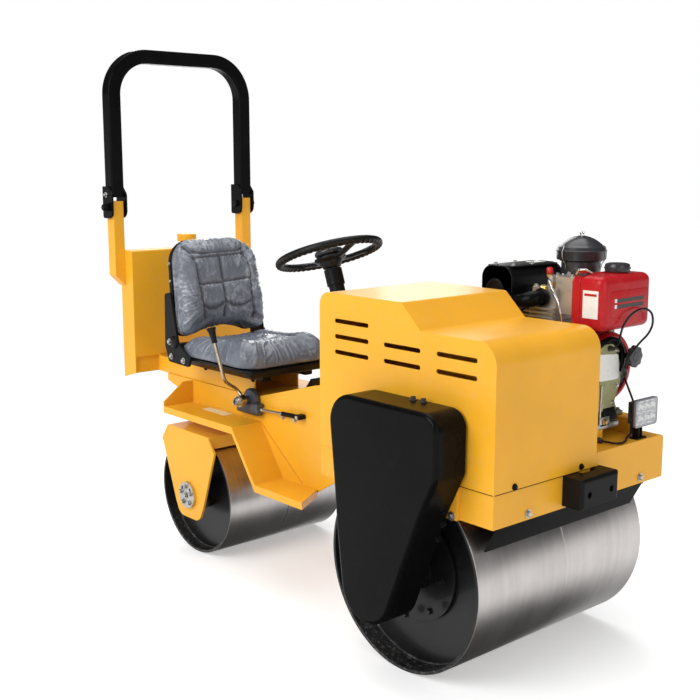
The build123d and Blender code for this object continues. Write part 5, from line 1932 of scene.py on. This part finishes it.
@dataclass
class ThrottleCable:
    """The free cable from the starter over the tank's face and down to the deck."""

    radius: float = 0.003
    route: tuple[Point, ...] = ((252, 190, 856), (278, 190, 856), (299, 174, 884), (301, 180, 920),
        (301, 214, 950), (300, 256, 962), (300, 290, 962), (301, 320, 946), (301, 326, 914), (301, 304, 888),
        (300, 272, 872), (299, 242, 852), (292, 222, 824), (280, 227, 790), (273, 250, 756), (269, 278, 722),
        (267, 303, 685), (267, 317, 648), (271, 304, 617), (281, 272, 608), (290, 240, 607), (306, 214, 607),
        (321, 188, 607), (324, 158, 607), (306, 137, 610), (276, 137, 610),)

    def build(self) -> None:
        """Make the cable as one spline, with its boots."""
        places = [at(*point) for point in self.route]
        curve = bpy.data.curves.new("throttle_cable_line", "CURVE")
        curve.dimensions = "3D"
        spline = curve.splines.new("NURBS")
        spline.points.add(len(places) - 1)
        for point, place in zip(spline.points, places):
            point.co = (*place, 1.0)
        spline.order_u = 3
        spline.use_endpoint_u = True
        curve.bevel_depth = self.radius
        curve.bevel_resolution = 4
        curve.resolution_u = 8
        curve.use_fill_caps = True
        curve.materials.append(Coat.CABLE.material)
        cable = linked("throttle_cable_line", curve)
        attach(cable, "chassis")
        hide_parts("throttle_cable")
        boots = Form("cable_boots", Coat.PLASTIC)
        boots.lathe([(3.1, -3), (6, -2), (8.5, 2), (9, 10), (7, 18), (4.4, 22), (3.1, 22)], at(262, 137, 610),
            AHEAD, 24)
        boots.lathe([(3.1, 0), (8, 0), (8.5, 3), (7, 14), (4.4, 22), (3.1, 22)], at(250, 190, 856), AHEAD, 24)
        boots.lathe([(3.1, -14), (5.5, -13), (8.5, -6), (9, 4), (7.5, 11), (4, 15), (3.1, 15)], at(280.5, 231,
            790), (-0.25, 0.33, -0.91), 24)
        made = boots.piece(45)


@dataclass
class WorkLamp:
    """Square lamp with six diodes behind a clear window, in a finned housing."""

    columns: tuple[float, ...] = (262, 290, 318)
    rows: tuple[float, ...] = (657, 689)
    fins: int = 9

    def build(self) -> None:
        """Make housing, fins, reflector cells, diodes, frame and window."""
        form = Form("lamp_housing", Coat.PLASTIC)
        form.block(at(300, 239, 635), at(312, 341, 711), 0.005, 3)
        for k in range(self.fins):
            y = 246 + 11 * k
            form.block(at(286, y, 642), at(302, y + 4, 704), 0.001, 1)
        form.block(at(286, 256, 613), at(306, 276, 646), 0.002)
        rim = filleted(((238, 634, 9), (342, 634, 9), (342, 712, 9), (238, 712, 9)), 6)
        inner = filleted(((241.5, 637.5, 7), (338.5, 637.5, 7), (338.5, 708.5, 7), (241.5, 708.5, 7)), 6)
        form.use(Coat.LAMP_FRAME)
        part = bmesh.new()
        rings = []
        for x, outline in ((311, rim), (317, rim), (318, inner), (312, inner)):
            rings.append([part.verts.new(at(x, y, z)) for y, z in outline])
        skin(part, [*rings, rings[0]], False)
        form.take(part)
        form.use(Coat.REFLECTOR)
        form.block(at(311, 242, 638), at(312.6, 338, 708), 0.0003, 1)
        for y in self.columns:
            for z in self.rows:
                form.lathe([(14.5, 4.6), (14, 4.8), (11, 3.0), (7, 1.6), (4, 1.3), (0, 1.3)], at(312, y, z),
                    AHEAD, 28)
        form.use(Coat.DIODE)
        for y in self.columns:
            for z in self.rows:
                form.block(at(313.2, y - 3, z - 3), at(314.6, y + 3, z + 3), 0.0005, 1)
        form.piece(35, "lamp")
        window = Form("lamp_window", Coat.LENS)
        window.prism(inner, 0.0012, at(316.3, 0, 0))
        window.piece(35)


@dataclass
class DriveLever:
    """The lever's knob, spring, casting and link."""

    kit: GeoKit
    neck: Point = (-918, -151, 572)
    way: Point = (-48, -3, 121)

    def build(self) -> None:
        """Make knob, spring, casting details and link rod."""
        knob = Form("lever_grip", Coat.GRIP)
        knob.lathe([(0, 0), (8.5, 0), (9.2, 2), (9.5, 12), (11, 28), (13, 43), (16, 47.5), (16.5, 50), (15, 52),
            (6, 53), (0, 53)], at(-940, -289, 773), self.way, 36)
        knob.piece(45, "lever_knob")
        self.kit.coil.make("lever_spring", spots_mesh([Spot(at(-918, -214, 572), RIGHT)]), Coat.ZINC, "chassis",
            "zinc_steel", 60, Radius=0.0155, Top_Radius=0.009, Wire=0.0017, Height=0.018, Turns=5.5)
        block = Form("lever_casting", Coat.LEVER_IRON)
        block.block(at(-988, -176, 522), at(-868, -150, 560), 0.006, 3)
        block.lathe([(0, 0), (34, 0), (37, 3), (37, 16), (33, 21), (14, 23), (12, 36), (9, 38), (9, 64),
            (0, 64)], at(*self.neck), RIGHT, 44)
        block.block(at(-898, -184, 530), at(-858, -154, 566), 0.005, 3)
        block.piece(40, "lever_block")
        link = Form("drive_link", Coat.ZINC)
        link.tube([at(-857, -170, 548), at(-735, -170, 554)], 0.0048, 16)
        for x in (-848, -742):
            link.lathe([(0, 0), (8, 0), (8, 9), (0, 9)], at(x, -170, 548.5 + (x + 857) * 0.05), (1, 0, 0.05), 6)
        link.use(Coat.BLACK_MATT)
        link.tube([at(-738, -170, 554), at(-646, -170, 558)], 0.0078, 16)
        link.block(at(-664, -178, 550), at(-641, -150, 566), 0.003)
        link.use(Coat.ZINC)
        link.lathe([(0, 0), (6, 0), (6, 5), (0, 5.5)], at(-652, -178, 558), RIGHT, 6)
        link.piece(40, "lever_link")


# ------------------------------------------------------------------------------ fasteners, welds and plates
@dataclass
class Hardware:
    """Bolts, weld beads and bare plates that the solids leave out."""

    kit: GeoKit
    flange_bolts: int = 5
    flange_turn: float = radians(20)
    hub_bolts: int = 8
    drums: tuple[tuple[str, Coat, float, float, float, float], ...] = (
        # body, finish, x, radius, half width, depth of the groove round the middle
        ("front_drum", Coat.DRUM_FRONT, 0, 280, 345, 0.0),
        ("rear_drum", Coat.DRUM_REAR, -1136, 212.5, 250, 2.0))
    walls: tuple[tuple[str, float, float, float, float, float, float], ...] = (
        # body, x, z, hub's circle and face, bulkhead's radius and place
        ("front_drum", 0, 280, 128, 323, 269, 283), ("rear_drum", -1136, 212.5, 46, 238, 201, 210))

    def build(self) -> None:
        """Set every group."""
        self.kit.fasten("hood_buttons", [Spot(at(334, y, z), AHEAD) for y, z in ((-285, 577), (-22, 579))], 6,
            5, coat=Coat.BLACK_MATT, sides=20)
        self.kit.fasten("frame_front_bolts", [Spot(at(331, y, z), AHEAD) for y, z in ((-227, 496), (250, 498))],
            8, 7)
        self.kit.fasten("case_top_bolts", [Spot(at(x, y, 766), UP) for x, y in ((80, -384), (114, -381))], 7, 8,
            coat=Coat.IRON)
        edge = (0.93, 0, -0.36)
        self.kit.fasten("case_edge_bolts", [Spot(at(x, -424, z), edge) for x, z in ((229, 486), (213, 443))],
            6.5, 6, coat=Coat.BLACK)
        self.kit.fasten("case_pad_bolt", [Spot(at(205, -369, 489), RIGHT)], 8.5, 7)
        self.kit.fasten("rear_frame_bolts", [Spot(at(x, side * 150, 538), (0, side, 0)) for side in (-1, 1)
            for x in (-698, -760)], 7, 6)
        self.kit.fasten("seat_rail_bolts", [Spot(at(x, y, 633), (0, side, 0)) for y, side in ((-144, -1),
            (44, 1)) for x in (-1214, -931)], 5.5, 5, coat=Coat.BLACK_MATT)
        self.kit.fasten("hoop_pivot_bolts", [Spot(at(-1598, y, 1193), (0, side, 0)) for y, side in ((-310, -1),
            (344, 1))], 12, 8, coat=Coat.BLACK_MATT)
        self.kit.fasten("hoop_lock_bolts", [Spot(at(-1606, y, 1238), (0, side, 0)) for y, side in ((-299, -1),
            (333, 1))], 7, 7, body="hoop")
        rear = []
        for side, y in ((-1, -290), (1, 290)):
            rear.append(Spot(at(-1136, y, 212.5), (0, side, 0)))
            for turn in turns(self.flange_bolts):
                turn += self.flange_turn
                rear.append(Spot(at(-1136 + 31 * cos(turn), y, 212.5 + 31 * sin(turn)), (0, side, 0)))
        self.kit.fasten("rear_flange_bolts", rear, 6.5, 6, body="rear_yoke")
        self.drum_shells()
        self.drum_details()
        self.painted_seam_shadow()
        self.plates()
        self.frame_welds()

    def drum_shells(self) -> None:
        """Rolled shells with softened rims, one on each drum."""
        for body, coat, x, radius, half, groove in self.drums:
            rim = [(radius - 10, half - 1), (radius - 9, half), (radius - 2.5, half), (radius - 0.7,
                half - 0.7), (radius, half - 2.5), (radius, 2.5), (radius - 0.6, 1.5), (radius - groove, 1.2)]
            profile = [*rim, *((r, -y) for r, y in reversed(rim)), rim[0]]
            form = Form(body + "_rolled_shell", coat)
            form.lathe(profile, at(x, 0, radius), LEFT, 240)
            form.piece(30, body + "_shell", body)

    def drum_details(self) -> None:
        """Bolt circles on the hubs and weld rings where bulkheads meet the shells."""
        for body, x, z, hub, face, inner, wall in self.walls:
            spots, rings = [], []
            for side in (-1, 1):
                for turn in turns(self.hub_bolts):
                    spots.append(Spot(at(x + hub * cos(turn), side * face, z + hub * sin(turn)), (0, side, 0)))
                rings.append([at(x + inner * cos(a), side * (wall + 1), z + inner * sin(a))
                    for a in (*turns(90), 2 * pi)])
            self.kit.fasten(body + "_hub_bolts", spots, 8, 8, coat=Coat.DRUM_BLACK, body=body)
            self.kit.welds.make(body + "_weld_rings", line_mesh(rings), Coat.WELD, body, "drum_black", 60,
                Size=0.0042, Step=0.0060, Seed=5)

    def painted_seam_shadow(self) -> None:
        """Black strip in the gap between the hood and the frame: a painted shadow of the seam."""
        strip = Form("painted_seam_shadow_strip", Coat.BLACK_MATT)
        # A thin black strip stands in for the seam's shadow.
        strip.block(at(333.2, -356, 567.2), at(334.6, 41, 568.6), 0.0, 1)
        strip.block(at(-140, -360.6, 567.2), at(330, -359.2, 568.6), 0.0, 1)
        strip.piece(30)

    def plates(self) -> None:
        """A bare plate on the upper step's tread."""
        plate = Form("step_bare_plate", Coat.STEP_PLATE)
        plate.block(at(-1166, -196, 500), at(-1030, -160, 501.2), 0.0005, 1)
        plate.piece()

    def frame_welds(self) -> None:
        """Beads where the upper steps meet the frame."""
        lines = [[at(x, side * 151, 501) for x in (-1296, -930)] for side in (-1, 1)]
        self.kit.welds.make("step_welds", line_mesh(lines), Coat.YELLOW, "chassis", "frame_yellow", 60,
            Size=0.0030, Step=0.0046, Seed=2)


# ------------------------------------------------------------------------------ carried-over solids
@dataclass
class Dressing:
    """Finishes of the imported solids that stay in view."""

    coats: tuple[tuple[Coat, str], ...] = (  # finish, solids
        (Coat.YELLOW, "front_frame rear_frame right_steps left_steps hood yoke seat_base water_tank "
         "filler_cap hoop_posts engine_mount"),
        (Coat.BLACK, "chain_case left_arm rops_hoop intake_elbow"),
        (Coat.BLACK_MATT, "bumper front_scraper lamp_bracket right_bearing rear_scraper seat_rails "
         "recliners fold_pins steering_column pedal muffler"),
        (Coat.PLASTIC, "lamp throttle_knob fuel_cap air_filter"),
        (Coat.DRUM_FRONT, "front_drum_shell"),
        (Coat.DRUM_BLACK, "front_drum_bulkheads front_drum_hubs rear_drum_bulkheads rear_drum_hubs"),
        (Coat.DRUM_REAR, "rear_drum_shell"),
        (Coat.ZINC, "front_axle kingpin rear_axle axle_flanges cable_ferrules"),
        (Coat.SHELL, "seat_pan back_shell"),
        (Coat.VINYL, "seat_cushion back_cushion"),
        (Coat.GRIP, "steering_wheel lever_knob"),
        (Coat.LEVER_IRON, "lever_block"),
        (Coat.ROD, "lever_rod"),
        (Coat.CHROME, "lever_link"),
        (Coat.ALLOY_WITH_PAINTED_REFLECTION, "engine_block flywheel_housing"),
        (Coat.ALLOY, "cylinder_head"),
        (Coat.RED, "recoil_starter fuel_tank"),
        (Coat.CABLE, "throttle_cable"),
    )

    def build(self) -> None:
        """Give each solid its finish."""
        for coat, names in self.coats:
            for name in names.split():
                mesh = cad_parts[name].data
                mesh.materials.clear()
                mesh.materials.append(coat.material)


def main() -> None:
    """Build the roller's looks in order."""
    logging.basicConfig(level=logging.INFO, format="%(name)s: %(message)s")
    Studio().build()
    Dressing().build()
    ThrottleCable().build()
    kit = GeoKit()
    Seat(kit).build()
    SteeringWheel(kit).build()
    Engine(kit).build()
    WorkLamp().build()
    DriveLever(kit).build()
    Hardware(kit).build()


if __name__ == "__main__":
    main()
